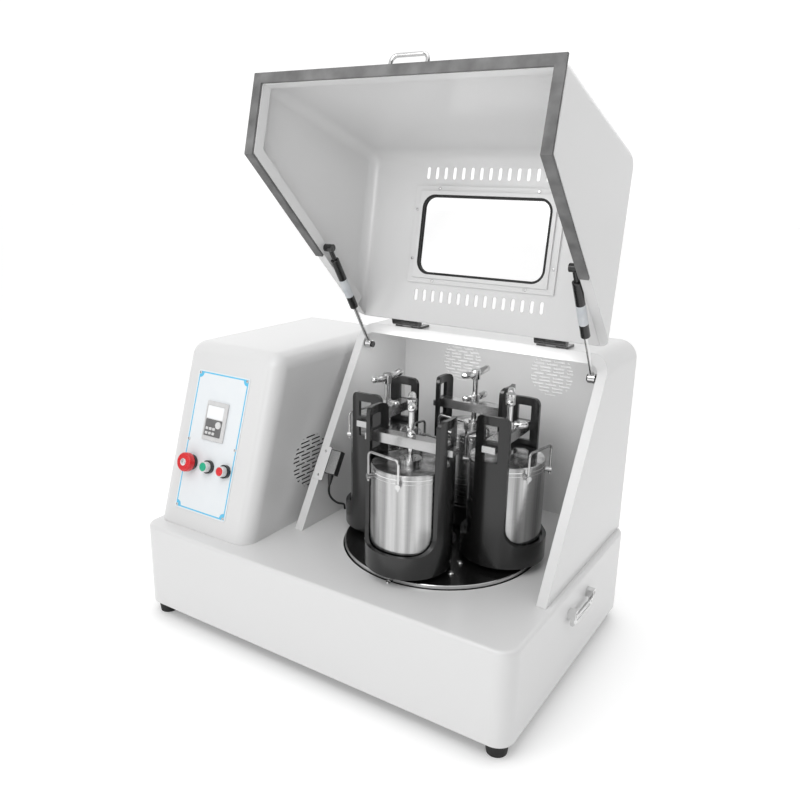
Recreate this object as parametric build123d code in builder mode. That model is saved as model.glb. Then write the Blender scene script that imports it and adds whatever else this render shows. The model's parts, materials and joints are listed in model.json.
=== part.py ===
from build123d import *
import os
from math import cos, radians, sin, tan

# Planetary ball mill. Origin on the floor under the middle of the base, +X to
# the right, +Y to the back, +Z up. The lid is drawn closed and swung open.

os.makedirs("parts", exist_ok=True)

# ---------------------------------------------------------------- clearances
RUN = 0.05  # radial clearance of a running fit
GAP = 0.3  # air between pieces that move past each other
BELT_GAP = 0.25  # air between a belt and the bottom of its groove
NEAR = 0.01  # tolerance for picking edges and corners

# ---------------------------------------------------------------------- base
BASE_LENGTH, BASE_WIDTH, BASE_HEIGHT = 900, 605, 188
BASE_CORNER, BASE_TOP_EDGE = 34, 8
SHEET = 2
FOOT_HEIGHT, FOOT_RADIUS, FOOT_WAIST, FOOT_INSET = 30, 23, 19, 32
DECK_Z = FOOT_HEIGHT + BASE_HEIGHT
FLOOR_THICK = 4

# ------------------------------------------------------- hood over the pots
HOOD_X = 141  # middle plane of hood, lid and turntable
HOOD_WIDTH, HOOD_HEIGHT, HOOD_BACK_Y = 592, 428, 295.5
HOOD_WALL, HOOD_CEILING, HOOD_BACK_WALL = 20, 20, 13
HOOD_OUTER_CORNER, HOOD_INNER_CORNER = 38, 20
HOOD_HALF = HOOD_WIDTH / 2
HOOD_TOP_Z = DECK_Z + HOOD_HEIGHT
CHAMBER_HALF = HOOD_HALF - HOOD_WALL
STRIP_SLANT = 30.6  # lean of the hood's open front from upright
STRIP_FOOT_Y = -130.8
BACK_VENT_OFFSET, BACK_VENT_Z, BACK_VENT_RADIUS = 114, 548, 50
BACK_SLOT, BACK_SLOT_HEIGHT, BACK_SLOT_GAP, BACK_SLOT_PITCH = 24, 3, 8, 7.7
BACK_VENT_ROWS, BACK_VENT_COLUMNS = 13, 3

# ----------------------------------------------------------------------- lid
LID_OPENING = 103.5  # swing from closed to the stop
HINGE_Y, HINGE_Z = 116.9, HOOD_TOP_Z + 13
LID_WALL, LID_FLANGE, LID_LIP, LID_LIP_THICK = 2, 20, 22, 3
LID_TOE_Y, LID_CROWN_Y, LID_CROWN_Z = -277.5, -244.8, 619
LID_REAR_Z = HOOD_TOP_Z + 0.8
LID_CROWN_RADIUS, LID_EDGE_RADIUS = 38, 24
LID_LIP_REACH = 450  # length of the return lip up the slanted rim
GASKET_THICK, GASKET_DECK_GAP, GASKET_STRIP_GAP = 5, 1, 2.5
GASKET_MARGIN, GASKET_REACH = 1, 280
LID_SLOT, LID_SLOT_WIDTH, LID_SLOT_PITCH, LID_SLOT_COUNT = 25, 8, 21, 15
LID_SLOT_OFFSET = 129.5

# -------------------------------------------------------------------- window
WINDOW_FROM_REAR = 189
FRAME_HALF_X, FRAME_HALF_Y, FRAME_THICK = 170, 103, 4.5
RAISED_HALF_X, RAISED_HALF_Y, RAISED_THICK = 156, 92, 4.5
SEAL_HALF_X, SEAL_HALF_Y, SEAL_CORNER = 148, 84, 28
SEAL_WIDTH, SEAL_GROOVE = 5, 2.5
PANE_THICK, PANE_DEPTH = 4, 3

# ---------------------------------------------------------------- lid handle
LID_HANDLE_FROM_TOE, LID_HANDLE_SPAN, LID_HANDLE_REACH = 40, 72, 35
LID_HANDLE_RADIUS, LID_HANDLE_BEND = 4, 12
LID_HANDLE_FOOT_RADIUS, LID_HANDLE_FOOT = 8, 3

# -------------------------------------------------------------------- hinges
HINGE_OFFSET, HINGE_WIDTH, HINGE_FINGER = 171, 68, 22
KNUCKLE_RADIUS, HINGE_PIN_RADIUS, HINGE_SWEEP_RADIUS = 8, 4, 10
LEAF_THICK, LEAF_DEPTH, LEAF_SETBACK, LEAF_ROOT = 5, 35, 5, 12
LOWER_LEAF_Y = 123.5

# ---------------------------------------------------------------- gas struts
STRUT_INSET = 11  # from the chamber's side wall
STRUT_OFFSET = CHAMBER_HALF - STRUT_INSET
STRUT_LOWER_Y, STRUT_LOWER_Z = 108, 599
STRUT_UPPER_Y, STRUT_UPPER_Z = -8.7, 466.7  # with the lid closed
TUBE_RADIUS, TUBE_LENGTH, TUBE_END, TUBE_EDGE = 9, 130, 30, 1
TUBE_BLIND, ROD_RADIUS, ROD_LENGTH = 8, 4, 135
EYE_RADIUS, EYE_HALF, SOCKET_RADIUS, NECK_RADIUS = 10, 7, 8, 5
STUD_RADIUS, STUD_WASHER_RADIUS, STUD_HEAD_RADIUS, STUD_HEAD = 4, 6.8, 7, 3

# --------------------------------------------------------- interlock switch
BRACKET_LEFT, BRACKET_WIDTH, BRACKET_THICK = 4, 25, 1.5
BRACKET_LOW, BRACKET_HIGH, BRACKET_LEG = 117, 194, 14
SWITCH_LOW, SWITCH_HIGH, SWITCH_WIDTH, SWITCH_DEPTH = 135, 190, 27.5, 15
SWITCH_PROUD = 3
GLAND_TILT, GLAND_LENGTH, GLAND_BIG, GLAND_SMALL, GLAND_ROOT = 15, 24, 7, 3.2, 2
CABLE_RADIUS = 2.5
CABLE_STRAIGHT = 11  # first run of the cable, in line with its gland
CABLE_BEND = 0.45  # share of the shorter run beside it that each bend takes

# --------------------------------------------------------------- control box
BOX_INSET = 3  # from the base's left end
BOX_LEFT, BOX_RIGHT = BOX_INSET - BASE_LENGTH / 2, -178
BOX_FRONT_Y, BOX_BACK_Y, BOX_HEIGHT = -264.5, 297.5, 389
PANEL_TILT = 17.7
BOX_EDGE_RADIUS, BOX_CREASE_RADIUS = 34, 38
BOX_SHEET = 2.5
SIDE_VENT_Y, SIDE_VENT_Z, SIDE_VENT_RADIUS = -44.5, 348.5, 61
SIDE_SLOT, SIDE_SLOT_HEIGHT, SIDE_SLOT_GAP, SIDE_SLOT_PITCH = 29, 3, 8, 9.4
SIDE_VENT_ROWS, SIDE_VENT_COLUMNS = 13, 3

# -------------------------------------------------------------- front panel
LABEL_LEFT, LABEL_WIDTH, LABEL_LOW, LABEL_HIGH = -398, 152, 38, 349
LABEL_THICK, LABEL_CORNER = 1.2, 5
DISPLAY_LEFT, DISPLAY_WIDTH, DISPLAY_LOW, DISPLAY_HIGH = -353, 63, 200, 286
DISPLAY_PROUD, DISPLAY_CORNER, DISPLAY_LIP, DISPLAY_CHAMFER = 4, 3, 3, 1
SCREEN_LEFT, SCREEN_WIDTH, SCREEN_LOW, SCREEN_HIGH, SCREEN_DEPTH = -349, 50, 209, 277, 1
INVERTER_DEPTH = 110
BUTTON_ROW = 143.7
STOP_KNOB_X, START_X, HALT_X = -370, -317.2, -268.1
BARREL_RADIUS, BARREL_LENGTH = 11, 30
KNOB_COLLAR_RADIUS, KNOB_COLLAR = 17, 7
KNOB_RADIUS, KNOB_LOW, KNOB_HIGH, KNOB_STEM, KNOB_DOME = 21, 13, 27, 8, 5
PUSH_COLLAR_RADIUS, PUSH_COLLAR, PUSH_RADIUS = 14.5, 8, 11.5
PUSH_LOW, PUSH_HIGH, PUSH_STEM, PUSH_SEAT, PUSH_ROUND = 7.6, 20, 5, 3, 1.5
STEM_LENGTH = 24

# ------------------------------------------------------------- carry handles
LUG_Y, LUG_SPACING = 10, 100
LUG_REACH, LUG_WIDTH, LUG_LOW, LUG_HIGH, LUG_WEB = 16, 14, 162, 178, 3
BAIL_X, BAIL_Z = BASE_LENGTH / 2 + 9.5, 169.5
BAIL_LEG_WIDTH, BAIL_LEG_HALF, BAIL_DROP = 8, 4, 20
BAIL_BAR_RADIUS, BAIL_PIN_RADIUS = 5, 2.5

# ----------------------------------------------------------------- turntable
DISC_RADIUS, DISC_THICK, DISC_PROUD, DISC_EDGE = 206, 15, 8, 1
DECK_OPENING_RADIUS = 209
DISC_TOP_Z = DECK_Z + DISC_PROUD
DISC_LOW_Z = DISC_TOP_Z - DISC_THICK
POT_PITCH_RADIUS, POT_PHASE, POT_COUNT = 141, -88, 4
BOSS_RADIUS, BOSS_DEPTH = 30, 40
SPINDLE_RADIUS = 15
MAIN_SHAFT_RADIUS, SHAFT_NECK_RADIUS, SHAFT_FLANGE_RADIUS, SHAFT_FLANGE = 20, 16, 50, 6
SHAFT_CAP_RADIUS, SHAFT_CAP, SHAFT_NUT_RADIUS, SHAFT_NUT = 34, 5, 15, 9

# ----------------------------------------------------------------- pot seats
CUP_RADIUS, CUP_BORE = 87, 79
CUP_RISE, CUP_FLOOR_RISE, CUP_RIM_RISE, CUP_FLOOR = 19, 58, 64, 14  # rises are above the deck
CUP_LOW_Z, CUP_FLOOR_Z, CUP_RIM_Z = DECK_Z + CUP_RISE, DECK_Z + CUP_FLOOR_RISE, DECK_Z + CUP_RIM_RISE
CUP_HUB_RADIUS = 26
ARM_WIDTH, ARM_RISE, ARM_CORNER, ARM_ROOT_RADIUS = 68, 327, 14, 38
ARM_TOP_Z = DECK_Z + ARM_RISE
ARM_WINDOW = 29
UPPER_WINDOW_RISE, UPPER_WINDOW_HEIGHT = 278.5, 31.5
UPPER_WINDOW_LOW = DECK_Z + UPPER_WINDOW_RISE
UPPER_WINDOW_HIGH = UPPER_WINDOW_LOW + UPPER_WINDOW_HEIGHT
LOWER_WINDOW_RISE, LOWER_WINDOW_HEIGHT = 236.5, 34.5
LOWER_WINDOW_LOW = DECK_Z + LOWER_WINDOW_RISE
LOWER_WINDOW_HIGH = LOWER_WINDOW_LOW + LOWER_WINDOW_HEIGHT

# ---------------------------------------------------------------------- jars
JAR_RADIUS, JAR_BORE, JAR_FLOOR, JAR_HEIGHT, JAR_CHAMFER = 76, 68, 8, 158, 8
JAR_LID_THICK, JAR_SPIGOT, JAR_SPIGOT_GAP, JAR_LID_EDGE = 9, 5, 0.2, 2
WIRE_RADIUS, WIRE_HALF, WIRE_DISTANCE, WIRE_BEND = 2.5, 38, 76, 9
WIRE_LOW, WIRE_HIGH, WIRE_LUG = 140, 199, 149  # above the jar's foot
WIRE_TURN = -12
WIRE_LUG_RADIUS, WIRE_LUG_LENGTH, WIRE_LUG_CAP = 5.5, 15, 1

# -------------------------------------------------------------------- clamps
BAR_WIDTH, BAR_RISE, BAR_BODY, BAR_TONGUE = 27, 258, 20, 12.7
BAR_LOW_Z = DECK_Z + BAR_RISE
BAR_HALF, TONGUE_HALF = 77.5, 96
SCREW_RADIUS, SCREW_HUB_RADIUS = 6, 10
FOOT_DISC_RADIUS, FOOT_DISC, FOOT_BOSS_RADIUS, FOOT_BOSS = 21.5, 9.7, 12, 4
SCREW_HUB_RISE, SCREW_HUB_HEIGHT = 331, 21
SCREW_HUB_LOW = DECK_Z + SCREW_HUB_RISE
SCREW_HUB_HIGH = SCREW_HUB_LOW + SCREW_HUB_HEIGHT
SCREW_WING_REACH, SCREW_WING_RISE = 50, 5
NUT_HUB_RISE, NUT_WING_REACH, NUT_WING_RISE = 296, 36, 4
NUT_HUB_HIGH = DECK_Z + NUT_HUB_RISE
WING_ROOT, WING_TIP, WING_THICK = 7, 6.5, 5
SCREW_WING_TURNS = (29, 111, 173, 85)  # as each screw happens to stand
NUT_WING_TURNS = (29, 21, 164, 163)

# --------------------------------------------------------------------- drive
BRIDGE_LOW_Z, BRIDGE_THICK, BRIDGE_SIZE = 72, 8, 300
POST_RADIUS, POST_INSET, BRIDGE_BORE = 12, 20, 34
HOUSING_RADIUS, HOUSING_FOOT_RADIUS, HOUSING_FOOT = 45, 70, 10
HOUSING_TOP_Z = DISC_LOW_Z - SHAFT_FLANGE - GAP
SUN_RADIUS, PLANET_RADIUS = 55.25, 26  # bottoms of the belt grooves
FLANGE_RISE, GROOVE, LEVEL_PITCH, TOP_LEVEL_Z = 7.5, 9, 12, 158
BELT_WIDTH, BELT_THICK = 8, 6
DRIVEN_RADIUS, MOTOR_PULLEY_RADIUS = 97, 36.85
DRIVE_LEVEL_Z, DRIVE_GROOVE, DRIVE_BELT_WIDTH = 54, 18, 16
PULLEY_CHEEK = 3
MOTOR_INSET = 150  # of its axis, from the base's left end
MOTOR_X = MOTOR_INSET - BASE_LENGTH / 2
MOTOR_RADIUS, MOTOR_LENGTH, MOTOR_SHAFT_RADIUS = 70, 180, 12
MOTOR_SHAFT_BORE, MOTOR_BRIDGE = 40, 180
MOTOR_FLANGE_RADIUS, MOTOR_FLANGE, MOTOR_ROUND = 80, 12, 12
MOTOR_OPENING_X, MOTOR_OPENING_Y, MOTOR_OPENING_CORNER = 180, 260, 20


# ================================================================ geometry
def strip_y(z, gap=0):
    """Y of the hood's slanted front at height z, or of a line ahead of it."""
    slant = radians(STRIP_SLANT)
    return STRIP_FOOT_Y + (z - DECK_Z) * tan(slant) - gap / cos(slant)


def swung(plane):
    """A plane of the closed lid, carried along as the lid swings open."""
    swing = Pos(0, HINGE_Y, HINGE_Z) * Rot(X=-LID_OPENING) * Pos(0, -HINGE_Y, -HINGE_Z)
    return Plane(swing * plane.location)


def in_space(flat, x=0.0):
    """A side-view pair (y, z) as a point or a direction in space."""
    return Vector(x, flat.X, flat.Y)


# Corners of the closed lid's side view, as (y, z), and its unit directions.
rim_z = DECK_Z + GASKET_DECK_GAP + GASKET_THICK
rim_gap = GASKET_STRIP_GAP + GASKET_THICK
lid_toe = Vector(LID_TOE_Y, rim_z)
lid_heel = Vector(strip_y(rim_z, rim_gap), rim_z)
lid_rear = Vector(strip_y(LID_REAR_Z, rim_gap), LID_REAR_Z)
lid_crown = Vector(LID_CROWN_Y, LID_CROWN_Z)
up_strip = Vector(sin(radians(STRIP_SLANT)), cos(radians(STRIP_SLANT)))
off_strip = Vector(-up_strip.Y, up_strip.X)
along_top = (lid_crown - lid_rear).normalized()
off_top = Vector(along_top.Y, -along_top.X)
up_front = (lid_crown - lid_toe).normalized()
off_front = Vector(-up_front.Y, up_front.X)

lid_side = swung(Plane.YZ.offset(HOOD_X))
window_plane = swung(
    Plane(
        origin=in_space(lid_rear + along_top * WINDOW_FROM_REAR, HOOD_X),
        x_dir=(1, 0, 0),
        z_dir=in_space(off_top * -1),
    )
)
strip_plane = Plane(
    origin=(HOOD_X - HOOD_HALF, STRIP_FOOT_Y, DECK_Z),
    x_dir=(1, 0, 0),
    z_dir=in_space(off_strip),
)
panel_plane = Plane(
    origin=(0, BOX_FRONT_Y, DECK_Z),
    x_dir=(1, 0, 0),
    z_dir=(0, -cos(radians(PANEL_TILT)), sin(radians(PANEL_TILT))),
)
label_plane = panel_plane.offset(LABEL_THICK)
display_middle = (DISPLAY_LEFT + DISPLAY_WIDTH / 2, (DISPLAY_LOW + DISPLAY_HIGH) / 2)
display_body = (DISPLAY_WIDTH - 2 * DISPLAY_LIP, DISPLAY_HIGH - DISPLAY_LOW - 2 * DISPLAY_LIP)
button_places = [(STOP_KNOB_X, BUTTON_ROW), (START_X, BUTTON_ROW), (HALT_X, BUTTON_ROW)]


def save(part, name):
    """Label a finished sub-part and write it to its own file."""
    part.label = name
    export_step(part, f"parts/{name}.step")


def round_vent(slot, height, gap, pitch, rows, columns, radius):
    """Sketch of level slots cut off by a circle, each third row shifted."""
    step = slot + gap
    centres = []
    for row in range(rows):
        shift = step / 2 if row % 3 == 0 else 0
        for column in range(columns + 1):
            centres.append(
                ((column - columns / 2) * step + shift, (row - (rows - 1) / 2) * pitch)
            )
    with BuildSketch() as vent:
        with Locations(*centres):
            Rectangle(slot, height)
        Circle(radius, mode=Mode.INTERSECT)
    return vent.sketch


# ==================================================================== base
with BuildPart() as base_shell:
    with BuildSketch(Plane.XY.offset(FOOT_HEIGHT)):
        RectangleRounded(BASE_LENGTH, BASE_WIDTH, BASE_CORNER)
    extrude(amount=BASE_HEIGHT)
    fillet(base_shell.edges().group_by(Axis.Z)[-1], BASE_TOP_EDGE)
    offset(amount=-SHEET, openings=base_shell.faces().sort_by(Axis.Z)[0])
    with BuildSketch(Plane.XY.offset(DECK_Z)):
        with Locations((HOOD_X, 0)):
            Circle(DECK_OPENING_RADIUS)
        with Locations((MOTOR_X, 0)):
            RectangleRounded(MOTOR_OPENING_X, MOTOR_OPENING_Y, MOTOR_OPENING_CORNER)
    extrude(amount=-2 * SHEET, mode=Mode.SUBTRACT)
save(base_shell.part, "base_shell")

with BuildPart() as base_frame:
    with BuildSketch(Plane.XY.offset(FOOT_HEIGHT)):
        RectangleRounded(BASE_LENGTH - 2 * SHEET, BASE_WIDTH - 2 * SHEET, BASE_CORNER - SHEET)
    extrude(amount=FLOOR_THICK)
    for bridge_x, bridge_size in ((HOOD_X, BRIDGE_SIZE), (MOTOR_X, MOTOR_BRIDGE)):
        post_spacing = bridge_size - 2 * POST_INSET
        with BuildSketch(Plane.XY.offset(FOOT_HEIGHT)):
            with Locations((bridge_x, 0)):
                with GridLocations(post_spacing, post_spacing, 2, 2):
                    Circle(POST_RADIUS)
        extrude(amount=BRIDGE_LOW_Z - FOOT_HEIGHT)
        with BuildSketch(Plane.XY.offset(BRIDGE_LOW_Z)):
            with Locations((bridge_x, 0)):
                RectangleRounded(bridge_size, bridge_size, POST_INSET)
                Circle(BRIDGE_BORE, mode=Mode.SUBTRACT)
        extrude(amount=BRIDGE_THICK)
save(base_frame.part, "base_frame")

with BuildPart() as rubber_feet:
    with GridLocations(BASE_LENGTH - 2 * FOOT_INSET, BASE_WIDTH - 2 * FOOT_INSET, 2, 2):
        Cone(
            FOOT_WAIST,
            FOOT_RADIUS,
            FOOT_HEIGHT,
            align=(Align.CENTER, Align.CENTER, Align.MIN),
        )
save(rubber_feet.part, "rubber_feet")


# =============================================================== control box
with BuildPart() as control_box:
    with BuildSketch(Plane.YZ.offset(BOX_LEFT)) as box_side:
        box_top_y = BOX_FRONT_Y + BOX_HEIGHT * tan(radians(PANEL_TILT))
        with BuildLine():
            Polyline(
                (BOX_FRONT_Y, DECK_Z),
                (box_top_y, DECK_Z + BOX_HEIGHT),
                (BOX_BACK_Y, DECK_Z + BOX_HEIGHT),
                (BOX_BACK_Y, DECK_Z),
                close=True,
            )
        make_face()
        fillet(box_side.vertices().group_by(Axis.Y)[-1], BOX_CREASE_RADIUS)
    extrude(amount=BOX_RIGHT - BOX_LEFT)
    box_ends = control_box.faces().filter_by(Axis.X)
    fillet(box_ends.edges().filter_by(lambda edge: edge.center().Z > DECK_Z + NEAR), BOX_EDGE_RADIUS)
    offset(amount=-BOX_SHEET, openings=control_box.faces().sort_by(Axis.Z)[0])
    with BuildSketch(panel_plane):
        with Locations(display_middle):
            Rectangle(*display_body)
        with Locations(*button_places):
            Circle(BARREL_RADIUS)
    extrude(amount=-2 * BOX_SHEET, mode=Mode.SUBTRACT)
    side_vent = round_vent(
        SIDE_SLOT,
        SIDE_SLOT_HEIGHT,
        SIDE_SLOT_GAP,
        SIDE_SLOT_PITCH,
        SIDE_VENT_ROWS,
        SIDE_VENT_COLUMNS,
        SIDE_VENT_RADIUS,
    )
    with BuildSketch(Plane.YZ.offset(BOX_RIGHT)):
        with Locations((SIDE_VENT_Y, SIDE_VENT_Z)):
            add(side_vent)
    extrude(amount=-2 * BOX_SHEET, mode=Mode.SUBTRACT)
save(control_box.part, "control_box")

with BuildPart() as control_label:
    with BuildSketch(panel_plane):
        with Locations((LABEL_LEFT + LABEL_WIDTH / 2, (LABEL_LOW + LABEL_HIGH) / 2)):
            RectangleRounded(LABEL_WIDTH, LABEL_HIGH - LABEL_LOW, LABEL_CORNER)
        with Locations(display_middle):
            Rectangle(*display_body, mode=Mode.SUBTRACT)
        with Locations(*button_places):
            Circle(BARREL_RADIUS, mode=Mode.SUBTRACT)
    extrude(amount=LABEL_THICK)
save(control_label.part, "control_label")

# Inverter hung in the panel, its keypad and display facing out.
with BuildPart() as speed_controller:
    with BuildSketch(label_plane):
        with Locations(display_middle):
            RectangleRounded(DISPLAY_WIDTH, DISPLAY_HIGH - DISPLAY_LOW, DISPLAY_CORNER)
    extrude(amount=DISPLAY_PROUD)
    chamfer(
        speed_controller.faces().sort_by(Axis.Y)[0].outer_wire().edges(),
        DISPLAY_CHAMFER,
    )
    with BuildSketch(label_plane):
        with Locations(display_middle):
            Rectangle(*display_body)
    extrude(amount=-INVERTER_DEPTH)
    with BuildSketch(label_plane.offset(DISPLAY_PROUD)):
        with Locations((SCREEN_LEFT + SCREEN_WIDTH / 2, (SCREEN_LOW + SCREEN_HIGH) / 2)):
            Rectangle(SCREEN_WIDTH, SCREEN_HIGH - SCREEN_LOW)
    extrude(amount=-SCREEN_DEPTH, mode=Mode.SUBTRACT)
save(speed_controller.part, "speed_controller")

with BuildPart() as button_collars:
    with BuildSketch(label_plane):
        with Locations(button_places[0]):
            Circle(KNOB_COLLAR_RADIUS)
    extrude(amount=KNOB_COLLAR)
    with BuildSketch(label_plane):
        with Locations(*button_places[1:]):
            Circle(PUSH_COLLAR_RADIUS)
    extrude(amount=PUSH_COLLAR)
    with BuildSketch(label_plane):
        with Locations(*button_places):
            Circle(BARREL_RADIUS)
    extrude(amount=-BARREL_LENGTH)
    with BuildSketch(label_plane.offset(KNOB_COLLAR)):
        with Locations(button_places[0]):
            Circle(KNOB_STEM + RUN)
    extrude(amount=-KNOB_COLLAR - BARREL_LENGTH, mode=Mode.SUBTRACT)
    with BuildSketch(label_plane.offset(PUSH_COLLAR)):
        with Locations(*button_places[1:]):
            Circle(PUSH_STEM + RUN)
    extrude(amount=-PUSH_COLLAR - BARREL_LENGTH, mode=Mode.SUBTRACT)
    with BuildSketch(label_plane.offset(PUSH_COLLAR)):
        with Locations(*button_places[1:]):
            Circle(PUSH_RADIUS + RUN)
    extrude(amount=PUSH_SEAT - PUSH_COLLAR, mode=Mode.SUBTRACT)
save(button_collars.part, "button_collars")

with BuildPart() as emergency_stop:
    with BuildSketch(label_plane.offset(KNOB_LOW)):
        with Locations(button_places[0]):
            Circle(KNOB_RADIUS)
    extrude(amount=KNOB_HIGH - KNOB_LOW)
    fillet(emergency_stop.edges().sort_by(Axis.Y)[0], KNOB_DOME)
    with BuildSketch(label_plane.offset(KNOB_LOW)):
        with Locations(button_places[0]):
            Circle(KNOB_STEM)
    extrude(amount=-KNOB_LOW - STEM_LENGTH)
save(emergency_stop.part, "emergency_stop")

for button_name, button_place in zip(("start_button", "stop_button"), button_places[1:]):
    with BuildPart() as push_button:
        with BuildSketch(label_plane.offset(PUSH_LOW)):
            with Locations(button_place):
                Circle(PUSH_RADIUS)
        extrude(amount=PUSH_HIGH - PUSH_LOW)
        fillet(push_button.edges().sort_by(Axis.Y)[0], PUSH_ROUND)
        with BuildSketch(label_plane.offset(PUSH_LOW)):
            with Locations(button_place):
                Circle(PUSH_STEM)
        extrude(amount=-PUSH_LOW - STEM_LENGTH)
    save(push_button.part, button_name)


# ============================================================ hood over pots
def hood_form(inset):
    """The hood's outer shape, or the same drawn in all round by the inset."""
    front_gap = -inset
    with BuildPart() as form:
        with BuildSketch(Plane.XZ.offset(inset - HOOD_BACK_Y)) as arch:
            with Locations((HOOD_X, DECK_Z)):
                Rectangle(
                    HOOD_WIDTH - 2 * inset,
                    HOOD_HEIGHT - inset,
                    align=(Align.CENTER, Align.MIN),
                )
            fillet(arch.vertices().group_by(Axis.Y)[-1], HOOD_OUTER_CORNER - inset)
        extrude(amount=HOOD_BACK_Y - STRIP_FOOT_Y)
        with BuildSketch(Plane.YZ.offset(HOOD_X)):
            with BuildLine():
                Polyline(
                    (strip_y(DECK_Z, front_gap), DECK_Z),
                    (strip_y(HOOD_TOP_Z, front_gap), HOOD_TOP_Z),
                    (HOOD_BACK_Y, HOOD_TOP_Z),
                    (HOOD_BACK_Y, DECK_Z),
                    close=True,
                )
            make_face()
        extrude(amount=HOOD_HALF, both=True, mode=Mode.INTERSECT)
    return form.part


def chamber_form(growth):
    """The open chamber inside the hood, or the same grown all round."""
    with BuildPart() as form:
        with BuildSketch(Plane.XZ.offset(HOOD_BACK_WALL - growth - HOOD_BACK_Y)) as arch:
            with Locations((HOOD_X, DECK_Z)):
                Rectangle(
                    2 * (CHAMBER_HALF + growth),
                    HOOD_HEIGHT - HOOD_CEILING + growth,
                    align=(Align.CENTER, Align.MIN),
                )
            fillet(arch.vertices().group_by(Axis.Y)[-1], HOOD_INNER_CORNER + growth)
        extrude(amount=HOOD_BACK_Y - STRIP_FOOT_Y)
    return form.part


hood_outside = hood_form(0)
hood_inside = chamber_form(0)
between_skins = hood_form(SHEET) - chamber_form(SHEET)
back_vent = round_vent(
    BACK_SLOT,
    BACK_SLOT_HEIGHT,
    BACK_SLOT_GAP,
    BACK_SLOT_PITCH,
    BACK_VENT_ROWS,
    BACK_VENT_COLUMNS,
    BACK_VENT_RADIUS,
)
with BuildPart() as hood_housing:
    add(hood_outside)
    add(hood_inside, mode=Mode.SUBTRACT)
    add(between_skins, mode=Mode.SUBTRACT)
    with BuildSketch(Plane.XZ.offset(-HOOD_BACK_Y)):
        with Locations(
            (HOOD_X - BACK_VENT_OFFSET, BACK_VENT_Z), (HOOD_X + BACK_VENT_OFFSET, BACK_VENT_Z)
        ):
            add(back_vent)
    extrude(amount=HOOD_BACK_WALL, mode=Mode.SUBTRACT)
save(hood_housing.part, "hood_housing")


# ======================================================================= lid
def lid_outline(*points):
    """Closed side-view outline through points given as vectors (y, z)."""
    with BuildLine() as outline:
        Polyline(*[(point.X, point.Y) for point in points], close=True)
    make_face(outline.edges())


def lid_form(inset):
    """The lid's outer shape, or the same drawn in all round by the inset."""
    with BuildPart() as form:
        with BuildSketch(lid_side) as side:
            lid_outline(lid_toe, lid_heel, lid_rear, lid_crown)
            if inset:
                offset(amount=-inset, kind=Kind.INTERSECTION, mode=Mode.REPLACE)
            crown_corner = side.vertices().sort_by_distance((lid_crown.X, lid_crown.Y))[0]
            fillet(crown_corner, LID_CROWN_RADIUS - inset)
        extrude(amount=HOOD_HALF - inset, both=True)
        # Both rim planes meet along the heel; every side edge clear of it is round.
        heel = lid_side.from_local_coords((lid_heel.X, lid_heel.Y))
        heel_edge = form.edges().filter_by(Axis.X).sort_by_distance(heel)[0]
        side_edges = form.faces().filter_by(Axis.X).edges()
        fillet(
            side_edges.filter_by(lambda edge: edge.distance_to(heel_edge) > NEAR),
            LID_EDGE_RADIUS - inset,
        )
    return form.part


def rim_band(front, depth, stop):
    """Side view of a band along both rims: in from the toe, deep, up to a stop.

    A positive depth goes into the lid, a negative one out towards the hood.
    """
    start = Vector(lid_toe.X + front, rim_z)
    heel_inside = Vector(strip_y(rim_z + depth, rim_gap + depth), rim_z + depth)
    lid_outline(
        start,
        lid_heel,
        stop,
        stop + off_strip * depth,
        heel_inside,
        start + Vector(0, depth),
    )


lid_outside = lid_form(0)
lid_inside = lid_form(LID_WALL)
lip_stop = lid_heel + up_strip * LID_LIP_REACH
panel_inside = lid_rear - off_top * LID_WALL
with BuildPart() as lid_shell:
    add(lid_outside)
    add(lid_inside, mode=Mode.SUBTRACT)
    with BuildSketch(lid_side):  # the mouth, open right up to the hinge edge
        lid_outline(
            lid_toe + Vector(LID_FLANGE, -GASKET_THICK),
            lid_heel + Vector(LID_FLANGE, -GASKET_THICK),
            panel_inside - along_top * LID_FLANGE,
            panel_inside + along_top * LID_FLANGE,
            lid_toe + Vector(LID_FLANGE, LID_FLANGE),
        )
    extrude(amount=CHAMBER_HALF, both=True, mode=Mode.SUBTRACT)
    with BuildSketch(lid_side):
        rim_band(LID_FLANGE - LID_LIP_THICK, LID_LIP, lip_stop)
    extrude(amount=CHAMBER_HALF + LID_LIP_THICK, both=True)
    with BuildSketch(lid_side):
        rim_band(LID_FLANGE, LID_LIP, lip_stop)
    extrude(amount=CHAMBER_HALF, both=True, mode=Mode.SUBTRACT)
    with BuildSketch(window_plane):
        RectangleRounded(2 * SEAL_HALF_X, 2 * SEAL_HALF_Y, SEAL_CORNER)
        with GridLocations(LID_SLOT_PITCH, 2 * LID_SLOT_OFFSET, LID_SLOT_COUNT, 2):
            SlotOverall(LID_SLOT, LID_SLOT_WIDTH, rotation=90)
    extrude(amount=2 * LID_WALL, mode=Mode.SUBTRACT)
save(lid_shell.part, "lid_shell")

gasket_stop = lid_heel + up_strip * GASKET_REACH
with BuildPart() as lid_gasket:
    with BuildSketch(lid_side):
        rim_band(GASKET_MARGIN, -GASKET_THICK, gasket_stop)
    extrude(amount=HOOD_HALF - GASKET_MARGIN, both=True)
    with BuildSketch(lid_side):
        rim_band(LID_FLANGE - GASKET_MARGIN, -GASKET_THICK, gasket_stop)
    extrude(amount=CHAMBER_HALF + GASKET_MARGIN, both=True, mode=Mode.SUBTRACT)
save(lid_gasket.part, "lid_gasket")

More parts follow.
